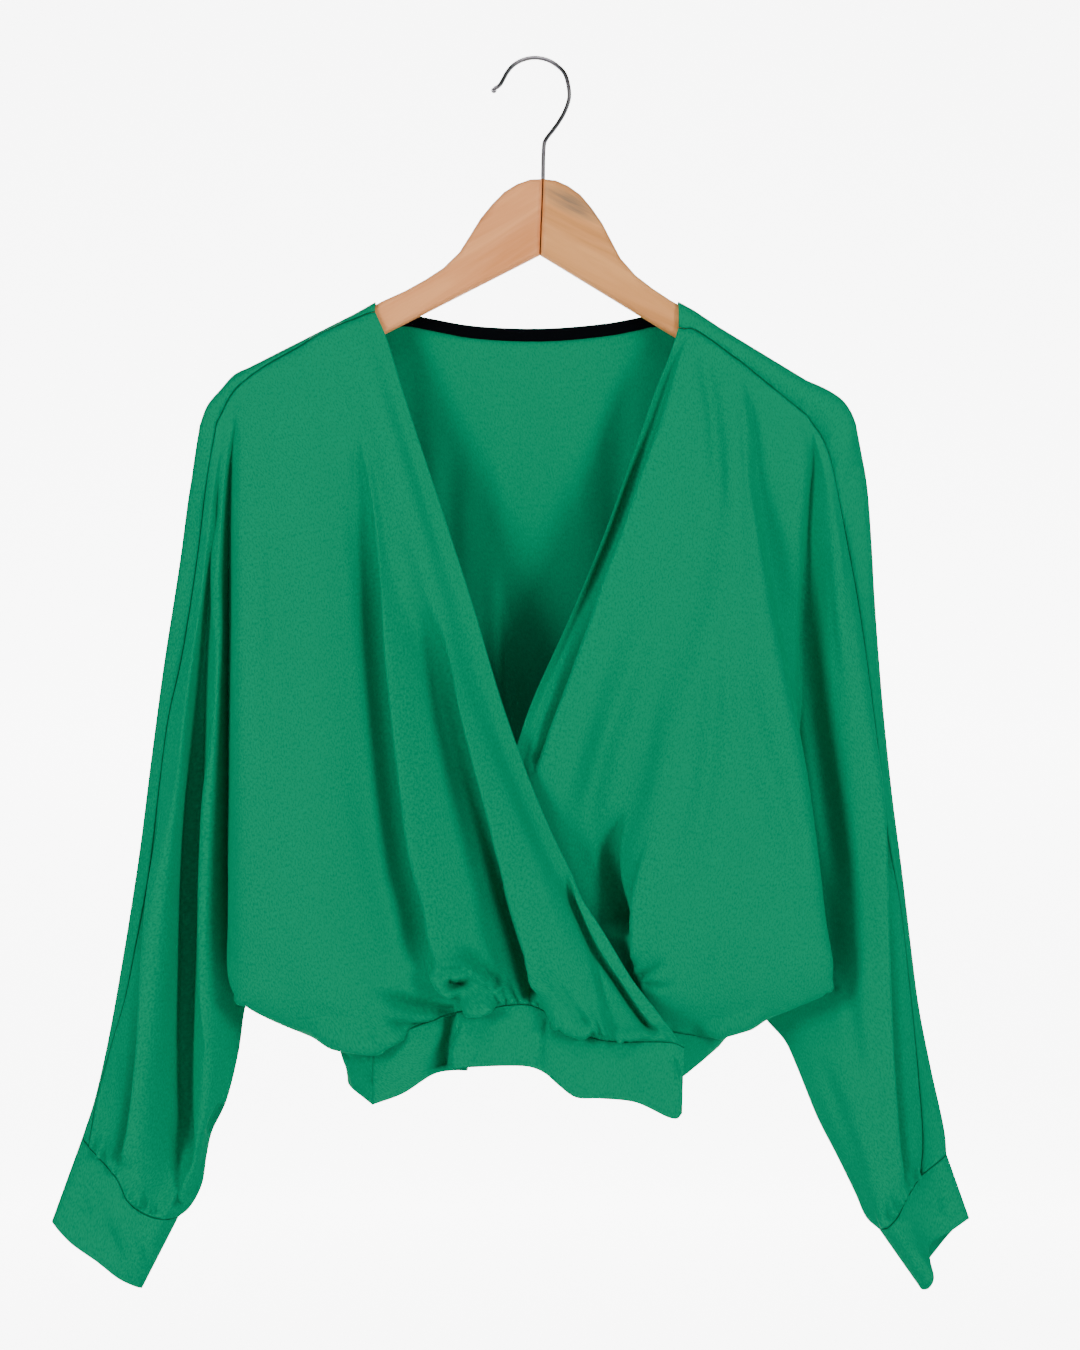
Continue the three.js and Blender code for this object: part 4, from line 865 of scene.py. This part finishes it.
# piece, first and last pixel on the seam, leans of the first and last ridge, count, length, height
GATHERS = {
    "over waist, middle": (OVER, (500, 998), (537, 1001), (-0.55, -1), (-0.1, -1), 6, 19, 3.6),
    "over waist, right": (OVER, (594, 1026), (629, 1034), (-0.5, -1), (-0.35, -1), 6, 19, 3.6),
    "over waist, far right": (OVER, (634, 1034), (668, 1034), (-0.5, -1), (-0.5, -1), 4, 10, 1.6),
    "over waist, broad fold": (OVER, (545, 1008), (588, 1027), (-0.1, -1), (-0.4, -1), 6, 9, 1.1),
    "left cuff, outer": (OVER, (88, 1148), (119, 1176), (0.15, -1), (0.1, -1), 5, 18, 3.2),
    "left cuff, inner": (OVER, (124, 1198), (166, 1219), (0.25, -1), (0.1, -1), 6, 13, 2.4),
    "right cuff, inner": (UNDER, (882, 1229), (908, 1193), (-0.45, -1), (-0.2, -1), 5, 15, 2.8),
    "right cuff, outer": (UNDER, (909, 1191), (921, 1174), (-0.3, -1), (-0.1, -1), 3, 13, 2.2),
    "under waist": (UNDER, (640, 1032), (728, 1034), (0.1, -1), (0.3, -1), 9, 14, 1.2),
    "back waist, left": ("back", (352, 1030), (440, 1009), (0.05, -1), (0, -1), 11, 34, 1.8),
    "back waist, middle": ("back", (440, 1009), (600, 997), (0, -1), (0, -1), 17, 40, 1.6),
    "back waist, right": ("back", (600, 997), (715, 1030), (0, -1), (-0.05, -1), 13, 34, 1.8),
    "back left cuff": ("back", (96, 1156), (182, 1215), (0.25, -1), (0.1, -1), 10, 22, 1.8),
    "back right cuff": ("back", (885, 1222), (938, 1152), (-0.3, -1), (-0.2, -1), 9, 20, 1.6),
}

UNEVEN = [0.0, 0.28, -0.31, 0.12, -0.17, 0.36, -0.08, 0.22, -0.35, 0.05, 0.31, -0.24]


def gather_creases():
    """Short ridges that fan out from a gathered seam, uneven in place, length and height."""
    made = []
    for piece, first, last, lean_start, lean_end, count, length, height in GATHERS.values():
        start, end = np.array(from_picture(*first)), np.array(from_picture(*last))
        for number in range(count):
            shift, other = UNEVEN[number % 12], UNEVEN[(5 * number + 3) % 12]
            part = (number + 0.5 + shift) / count
            foot = start * (1 - part) + end * part
            lean = np.array(lean_start) * (1 - part) + np.array(lean_end) * part
            reach = lean * length * (1 + other)
            half = np.linalg.norm(end - start) / count * (0.55 + 0.3 * shift)
            line = [foot, foot + 0.5 * reach + (0.6 * shift, 0), foot + reach]
            made.append((piece, (half, half * (1 + other)), height * (1 - shift), (0, 0), (0, 0.85), line))
    return made


SEAM_HOLD = 2  # a crease grows to its full height over these millimetres from a seam


def press_creases(pieces):
    moved = {name: np.zeros_like(sheet["spots"]) for name, sheet in pieces.items()}
    for piece, width, height, shift, fade, line in [*CREASES.values(), *gather_creases()]:
        sheet = pieces[piece]
        front = sheet["out"][:, 1] < 0 if piece.startswith(("front", "cuff", "band")) else sheet["out"][:, 1] > 0
        hill = crease_hill(sheet["spots"][:, 0], -sheet["spots"][:, 2], line, width, fade) * front
        moved[piece] += hill[:, None] * (height * sheet["out"] + (shift[0], 0, -shift[1]))
    for name, sheet in pieces.items():
        sheet["spots"] = sheet["spots"] + moved[name] * smooth(sheet["seam"] / SEAM_HOLD)[:, None]


press_creases(cloth)
share_directions(list(cloth.values()))
print("creases:", len(CREASES), "gathers:", len(gather_creases()))

# %% [markdown]
# ## From sheets to shells
# Real jersey is a little over half a millimetre thick. Each piece gets its thickness half to either
# side of its sheet, and its edges are drawn back by a hair so that a seam shows as a fine line.
# Neighbours still bite into each other by up to 0.7 mm at some seams, which doesn't show.

# %% Thin shells
JERSEY = 0.7
BINDING_THICK = 0.9
DRAWN_BACK = 0.12


def placed(name, data):
    """A new object in the scene that shows the data."""
    made = bpy.data.objects.new(name, data)
    bpy.context.scene.collection.objects.link(made)
    return made


def hex_colour(code):
    """An sRGB colour such as 00966A as linear red, green, blue and alpha."""
    parts = [int(code[place:place + 2], 16) / 255 for place in (0, 2, 4)]
    return (*(c / 12.92 if c <= 0.04045 else ((c + 0.055) / 1.055) ** 2.4 for c in parts), 1)


def open_edges(corners):
    """The edges of a piece that belong to one face only, in the order of that face."""
    edges = np.concatenate([np.stack([corners[:, step], corners[:, (step + 1) % 4]], axis=1) for step in range(4)])
    edges = edges[edges[:, 0] != edges[:, 1]]
    count = corners.max() + 1
    forward, backward = edges[:, 0] * count + edges[:, 1], edges[:, 1] * count + edges[:, 0]
    return edges[~np.isin(forward, backward)]


def draw_back(piece):
    """Moves a piece's open edge a hair towards the piece itself."""
    spots, corners = piece["spots"], piece["corners"]
    centres = spots[corners].mean(axis=1)
    pull = np.zeros_like(spots)
    for step in range(4):
        away = centres - spots[corners[:, step]]
        np.add.at(pull, corners[:, step], away / np.maximum(np.linalg.norm(away, axis=1, keepdims=True), 1e-9))
    edge = np.unique(open_edges(corners))
    pull[edge] /= np.maximum(np.linalg.norm(pull[edge], axis=1, keepdims=True), 1e-9)
    spots[edge] += DRAWN_BACK * pull[edge]


def shell(name, piece, thick):
    """A closed mesh object, thick millimetres through, on one piece's sheet."""
    draw_back(piece)
    spots, out, corners = piece["spots"], piece["out"], piece["corners"]
    count = len(spots)
    points = np.concatenate([spots + 0.5 * thick * out, spots - 0.5 * thick * out]) / 1000
    border = open_edges(corners)
    rim = np.stack([border[:, 1], border[:, 0], border[:, 0] + count, border[:, 1] + count], axis=1)
    flats = np.concatenate([piece["flats"], piece["flats"][:, ::-1], np.zeros((len(rim), 4, 2))]) / 1000
    faces = np.concatenate([corners, corners[:, ::-1] + count, rim])
    polygons, flat_corners = [], []
    for face, flat in zip(faces.tolist(), flats):
        kept = [step for step in range(4) if face[step] != face[step - 1]]
        if len(kept) > 2:
            polygons.append([face[step] for step in kept])
            flat_corners.append(flat[kept])
    mesh = bpy.data.meshes.new(name)
    mesh.from_pydata(points.tolist(), [], polygons)
    mesh.uv_layers.new(name="cloth").data.foreach_set("uv", np.concatenate(flat_corners).astype(np.float32).ravel())
    seam = mesh.attributes.new("seam_mm", "FLOAT", "POINT")
    seam.data.foreach_set("value", np.tile(piece["seam"], 2).astype(np.float32))
    mesh.shade_smooth()
    return placed(name, mesh)


MOST_TRIANGLES = 190_000


def thinned(made):
    """Merges the flattest faces of a mesh that has more than MOST_TRIANGLES; a library part stays light."""
    count = sum(len(face.vertices) - 2 for face in made.data.polygons)
    if count > MOST_TRIANGLES:
        fewer = made.modifiers.new("fewer_faces", "DECIMATE")
        fewer.ratio = MOST_TRIANGLES / count
        seen = made.evaluated_get(bpy.context.evaluated_depsgraph_get())
        dense, made.data = made.data, bpy.data.meshes.new_from_object(seen)
        made.modifiers.clear()
        bpy.data.meshes.remove(dense)
        made.data.shade_smooth()
    return made


shells = {}
for name, piece in cloth.items():
    shells[name] = thinned(shell("cloth_" + name, piece, BINDING_THICK if name == "neck_binding" else JERSEY))
print("triangles:", {name: sum(len(p.vertices) - 2 for p in o.data.polygons) for name, o in shells.items()})

# %% [markdown]
# ## Jersey, binding, wood and wire
# The crepe jersey is satiny: broad soft highlights, deep colour in its valleys, and a grain of fine
# twisted threads. Its seams show as a fine groove with a line of painted shade along it and small
# puckers beside it. The binding is a matt black tape. The wood has long grain along each arm, and the
# wire is bright chrome.

# %% Materials
def new_material(name, roughness, **sockets):
    material = bpy.data.materials.new(name)
    material.use_nodes = True
    shader = material.node_tree.nodes["Principled BSDF"]
    shader.inputs["Roughness"].default_value = roughness
    for socket, value in sockets.items():
        shader.inputs[socket.replace("_", " ")].default_value = value
    return material, material.node_tree, shader


def node(tree, kind, **settings):
    """A new node; a setting is a socket, with _ for a space, or else a property."""
    made = tree.nodes.new(kind)
    for key, value in settings.items():
        socket = key.replace("_", " ")
        if socket in made.inputs:
            made.inputs[socket].default_value = value
        else:
            setattr(made, key, value)
    return made


def join(tree, *pairs):
    for start, end in pairs:
        tree.links.new(start, end)


def mixed(tree, factor, first, second):
    made = node(tree, "ShaderNodeMix", data_type="RGBA")
    made.inputs[0].default_value = 1
    for socket, value in ((0, factor), (6, first), (7, second)):
        if isinstance(value, (tuple, int, float)):
            made.inputs[socket].default_value = value
        else:
            tree.links.new(value, made.inputs[socket])
    return made.outputs[2]


def jersey_material(name, colour, thread_colour, roughness):
    material, tree, shader = new_material(
        name, roughness, Specular_IOR_Level=0.01, Specular_Tint=hex_colour("10E8A0"),
        Sheen_Weight=0.3, Sheen_Roughness=0.35, Sheen_Tint=hex_colour("00C488"))
    flat = node(tree, "ShaderNodeUVMap", uv_map="cloth")
    stretch = node(tree, "ShaderNodeMapping", Scale=(950, 480, 1))  # real threads 0.2 mm apart, drawn coarser
    threads = node(tree, "ShaderNodeTexNoise", noise_dimensions="2D", Scale=1.0, Detail=2.0, Roughness=0.6)
    seam = node(tree, "ShaderNodeAttribute", attribute_name="seam_mm")
    line = node(
        tree, "ShaderNodeMapRange", interpolation_type="SMOOTHSTEP",
        From_Min=0.1, From_Max=0.75, To_Min=1.0, To_Max=0.0)
    near = node(
        tree, "ShaderNodeMapRange", interpolation_type="SMOOTHSTEP",
        From_Min=1.0, From_Max=8.0, To_Min=1.0, To_Max=0.0)
    pucker = node(tree, "ShaderNodeTexNoise", noise_dimensions="2D", Scale=210.0, Detail=1.0)
    beside = node(tree, "ShaderNodeMath", operation="MULTIPLY")
    grain = mixed(tree, threads.outputs["Fac"], hex_colour(colour), hex_colour(thread_colour))
    # Along each seam the colour turns to a darker 005234: painted shade of the seam's groove, laid over the groove's
    # own bump.
    grain_with_painted_seam_shade = mixed(tree, line.outputs[0], grain, hex_colour("005234"))
    weave = node(tree, "ShaderNodeBump", Strength=0.32, Distance=0.0002)
    puckers = node(tree, "ShaderNodeBump", Strength=0.5, Distance=0.0012)
    groove = node(tree, "ShaderNodeBump", Strength=0.6, Distance=0.0006, invert=True)
    join(tree,
         (flat.outputs[0], stretch.inputs[0]), (stretch.outputs[0], threads.inputs["Vector"]),
         (flat.outputs[0], pucker.inputs["Vector"]),
         (seam.outputs["Fac"], line.inputs[0]), (seam.outputs["Fac"], near.inputs[0]),
         (pucker.outputs["Fac"], beside.inputs[0]), (near.outputs[0], beside.inputs[1]),
         (threads.outputs["Fac"], weave.inputs["Height"]), (beside.outputs[0], puckers.inputs["Height"]),
         (line.outputs[0], groove.inputs["Height"]),
         (weave.outputs[0], puckers.inputs["Normal"]), (puckers.outputs[0], groove.inputs["Normal"]),
         (groove.outputs[0], shader.inputs["Normal"]), (grain_with_painted_seam_shade, shader.inputs["Base Color"]))
    return material


def binding_material():
    material, tree, shader = new_material("black_cotton_binding", 0.9, Specular_IOR_Level=0.02)
    flat = node(tree, "ShaderNodeUVMap", uv_map="cloth")
    ribs = node(tree, "ShaderNodeTexWave", wave_type="BANDS", bands_direction="X", Scale=420.0, Distortion=1.5)
    relief = node(tree, "ShaderNodeBump", Strength=0.3, Distance=0.0002)
    join(tree, (flat.outputs[0], ribs.inputs["Vector"]), (ribs.outputs["Fac"], relief.inputs["Height"]),
         (relief.outputs[0], shader.inputs["Normal"]),
         (mixed(tree, ribs.outputs["Fac"], hex_colour("010203"), hex_colour("05070A")), shader.inputs["Base Color"]))
    return material


def wood_material(name, light, dark, knot, turn, knot_place):
    """Varnished pale wood whose grain runs along an arm turned by `turn` degrees, with one knot."""
    material, tree, shader = new_material(name, 0.5, Specular_IOR_Level=0.25)
    place = node(tree, "ShaderNodeTexCoord")
    along = node(tree, "ShaderNodeMapping", Rotation=(0, math.radians(turn), 0))
    squeeze = node(tree, "ShaderNodeMapping", Scale=(6, 60, 75))  # 12 times as long as wide
    grain = node(tree, "ShaderNodeTexNoise", Scale=1.0, Detail=5.0, Roughness=0.6, Distortion=0.6)
    pores = node(tree, "ShaderNodeTexNoise", Scale=7.0, Detail=2.0)
    to_knot = node(
        tree, "ShaderNodeMapping", vector_type="TEXTURE", Location=(knot_place[0], 0, knot_place[1]),
        Rotation=(0, math.radians(-turn), 0), Scale=(0.03, 0.05, 0.009))
    from_knot = node(tree, "ShaderNodeVectorMath", operation="LENGTH")
    relief = node(tree, "ShaderNodeBump", Strength=0.15, Distance=0.0003)
    join(tree, (place.outputs["Object"], along.inputs[0]), (along.outputs[0], squeeze.inputs[0]),
         (squeeze.outputs[0], grain.inputs["Vector"]), (squeeze.outputs[0], pores.inputs["Vector"]),
         (place.outputs["Object"], to_knot.inputs[0]), (to_knot.outputs[0], from_knot.inputs[0]),
         (pores.outputs["Fac"], relief.inputs["Height"]))
    streaks = node(tree, "ShaderNodeMapRange", From_Min=0.35, From_Max=0.7)
    patch = node(tree, "ShaderNodeMapRange", From_Min=0.2, From_Max=1.0, To_Min=1.6, To_Max=0.0)
    stained = node(tree, "ShaderNodeMath", operation="MULTIPLY")
    join(tree, (grain.outputs["Fac"], streaks.inputs[0]), (from_knot.outputs["Value"], patch.inputs[0]),
         (patch.outputs[0], stained.inputs[0]), (pores.outputs["Fac"], stained.inputs[1]))
    board = mixed(tree, streaks.outputs[0], hex_colour(light), hex_colour(dark))
    join(tree, (mixed(tree, stained.outputs[0], board, hex_colour(knot)), shader.inputs["Base Color"]),
         (relief.outputs[0], shader.inputs["Normal"]))
    return material


def wire_material():
    material, tree, shader = new_material("chromed_steel_wire", 0.2, Metallic=1.0)
    place = node(tree, "ShaderNodeTexCoord")
    mist = node(tree, "ShaderNodeTexNoise", Scale=300.0, Detail=2.0)
    join(tree, (place.outputs["Object"], mist.inputs["Vector"]),
         (mixed(tree, mist.outputs["Fac"], hex_colour("5E5B5E"), hex_colour("868286")), shader.inputs["Base Color"]))
    return material


crepe = jersey_material("emerald_crepe_jersey", "005F40", "00845B", 0.5)
for name, made in shells.items():
    made.data.materials.append(binding_material() if name == "neck_binding" else crepe)
finishes = {
    "hanger_arm_left": wood_material("peach_beech_wood", "E29A62", "CB8049", "B0683C", 31.3, (-0.052, -0.118)),
    "hanger_arm_right": wood_material("tan_beech_wood", "D69558", "B87840", "6C5F4E", -26.9, (0.026, -0.102)),
    "hook": wire_material(),
}
for name, material in finishes.items():
    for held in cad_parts[name].material_slots:
        held.material = material

# %% [markdown]
# ## The glue line in the hanger
# The two halves meet at a mitre and are glued there. The rigid halves stand a hair apart, and a strip
# of dried glue fills the joint below the hook's stem. It is wider than the joint and runs into the
# wood on both sides, so that no light comes through.

# %% Glue line
GLUE_LINE = (1.1, 1.7, 23.6, 53.6)  # across, front to back, drop at its top and at its foot


def glue_material():
    material, tree, shader = new_material("dried_brown_glue", 0.6, Specular_IOR_Level=0.2)
    place = node(tree, "ShaderNodeTexCoord")
    mottle = node(tree, "ShaderNodeTexNoise", Scale=700.0, Detail=2.0)
    join(tree, (place.outputs["Object"], mottle.inputs["Vector"]),
         (mixed(tree, mottle.outputs["Fac"], hex_colour("4A2C16"), hex_colour("7A4F2C")), shader.inputs["Base Color"]))
    return material


def glue_line():
    wide, deep, top, foot = GLUE_LINE
    tilt = math.radians(HANGER_TILT)
    spots = []
    for drop in (top, foot):
        for across, front in ((-wide, -deep), (wide, -deep), (wide, deep), (-wide, deep)):
            x = HANGER_JOINT[0] + across / 2 * math.cos(tilt) - drop * math.sin(tilt)
            z = -HANGER_JOINT[1] - across / 2 * math.sin(tilt) - drop * math.cos(tilt)
            spots.append((x / 1000, front / 2000, z / 1000))
    mesh = bpy.data.meshes.new("glue_line")
    sides = [(a, (a + 1) % 4, (a + 1) % 4 + 4, a + 4)[::-1] for a in range(4)]
    mesh.from_pydata(spots, [], [(0, 1, 2, 3), (7, 6, 5, 4), *sides])
    mesh.materials.append(glue_material())
    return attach(placed("glue_line", mesh), "root")


print("glue line:", len(glue_line().data.polygons), "faces")

# %% [markdown]
# ## What rides where
# Nothing on the garment moves, so every piece rides on the one rigid body. Each shell takes the
# place of the rigid wall of the same name, which is hidden. The widths and lengths are estimates
# of the cut, and the areas are those of the finished shells, so they are no check on them.

# %% Ride and replace
for name, made in shells.items():
    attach(made, "root")
    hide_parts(name)

# %% [markdown]
# ## Camera, light and a pale room
# The photograph is taken square on from a few metres away, at the height of the garment's middle.
# Soft light comes from large panels, and the floor curves up into a plain white wall; its glow behind the garment is
# painted light that also lights the cloth from behind.

# %% Camera, lights, floor
CENTRE = (0.0039, 0, -0.4338)
DISTANCE = 2.5
FRAME_HEIGHT = 0.952
SENSOR = 36  # millimetres along the longer side of the picture


def panel_light(name, place, size, power, aim=CENTRE):
    made = placed(name, bpy.data.lights.new(name, "AREA"))
    made.data.shape = "RECTANGLE"
    made.data.size, made.data.size_y = size
    made.data.energy = power
    made.location = place
    made.rotation_euler = (Vector(aim) - Vector(place)).to_track_quat("-Z", "Y").to_euler()


camera = placed("camera", bpy.data.cameras.new("camera"))
camera.location = (CENTRE[0], -DISTANCE, CENTRE[2])
camera.rotation_euler = (math.radians(90), 0, 0)
camera.data.lens = SENSOR * DISTANCE / FRAME_HEIGHT
bpy.context.scene.camera = camera

panel_light("left_panel", (-2.4, -1.9, 0.1), (0.8, 1.3), 82)
panel_light("right_panel", (2.4, -2.0, 0.1), (0.8, 1.3), 82)
panel_light("top_panel", (0, -1.2, 1.6), (1.6, 0.8), 22)

world = bpy.data.worlds.new("pale_room")
world.use_nodes = True
world.node_tree.nodes["Background"].inputs["Color"].default_value = (1, 1, 1, 1)
world.node_tree.nodes["Background"].inputs["Strength"].default_value = 0.06
bpy.context.scene.world = world

SIDE, FLOOR, WALL, WALL_TOP, CURVE = 6, -1.35, 4.4, 3.5, 0.8  # metres; CURVE is the radius between the two
turns = np.linspace(0, math.pi / 2, 13)
profile = [(-SIDE, FLOOR), *((WALL - CURVE * (1 - math.sin(t)), FLOOR + CURVE * (1 - math.cos(t))) for t in turns),
           (WALL, WALL_TOP)]
cove = bpy.data.meshes.new("pale_floor")
cove.from_pydata([(x, y, z) for x in (-SIDE, SIDE) for y, z in profile], [],
                 [(i, i + 1, i + 1 + len(profile), i + len(profile))[::-1] for i in range(len(profile) - 1)])
cove.shade_smooth()
floor = placed("pale_floor", cove)
# Painted light: the paper glows. Its emission strength is 0.1 on the floor under and before the garment and rises to
# 6.5 on the floor and wall beyond it. It fades to under a tenth beyond 1.3 m to either side. The glow lights the cloth
# from behind and also whitens the backdrop.
paper, paper_tree, paper_shader = new_material("white_paper_painted_glow", 0.9)
paper_shader.inputs["Base Color"].default_value = hex_colour("FAFAFA")
paper_shader.inputs["Emission Color"].default_value = (1, 1, 1, 1)
room_place = node(paper_tree, "ShaderNodeTexCoord")
room_axes = node(paper_tree, "ShaderNodeSeparateXYZ")
glow = node(
    paper_tree, "ShaderNodeMapRange", interpolation_type="SMOOTHSTEP",
    From_Min=1.4, From_Max=2.1, To_Min=0.1, To_Max=6.5)
beside_middle = node(paper_tree, "ShaderNodeMath", operation="ABSOLUTE")
narrow = node(
    paper_tree, "ShaderNodeMapRange", interpolation_type="SMOOTHSTEP",
    From_Min=1.3, From_Max=2.2, To_Min=1.0, To_Max=0.08)
lit = node(paper_tree, "ShaderNodeMath", operation="MULTIPLY")
join(paper_tree, (room_place.outputs["Object"], room_axes.inputs[0]), (room_axes.outputs["Y"], glow.inputs[0]),
     (room_axes.outputs["X"], beside_middle.inputs[0]), (beside_middle.outputs[0], narrow.inputs[0]),
     (glow.outputs[0], lit.inputs[0]), (narrow.outputs[0], lit.inputs[1]),
     (lit.outputs[0], paper_shader.inputs["Emission Strength"]))
cove.materials.append(paper)
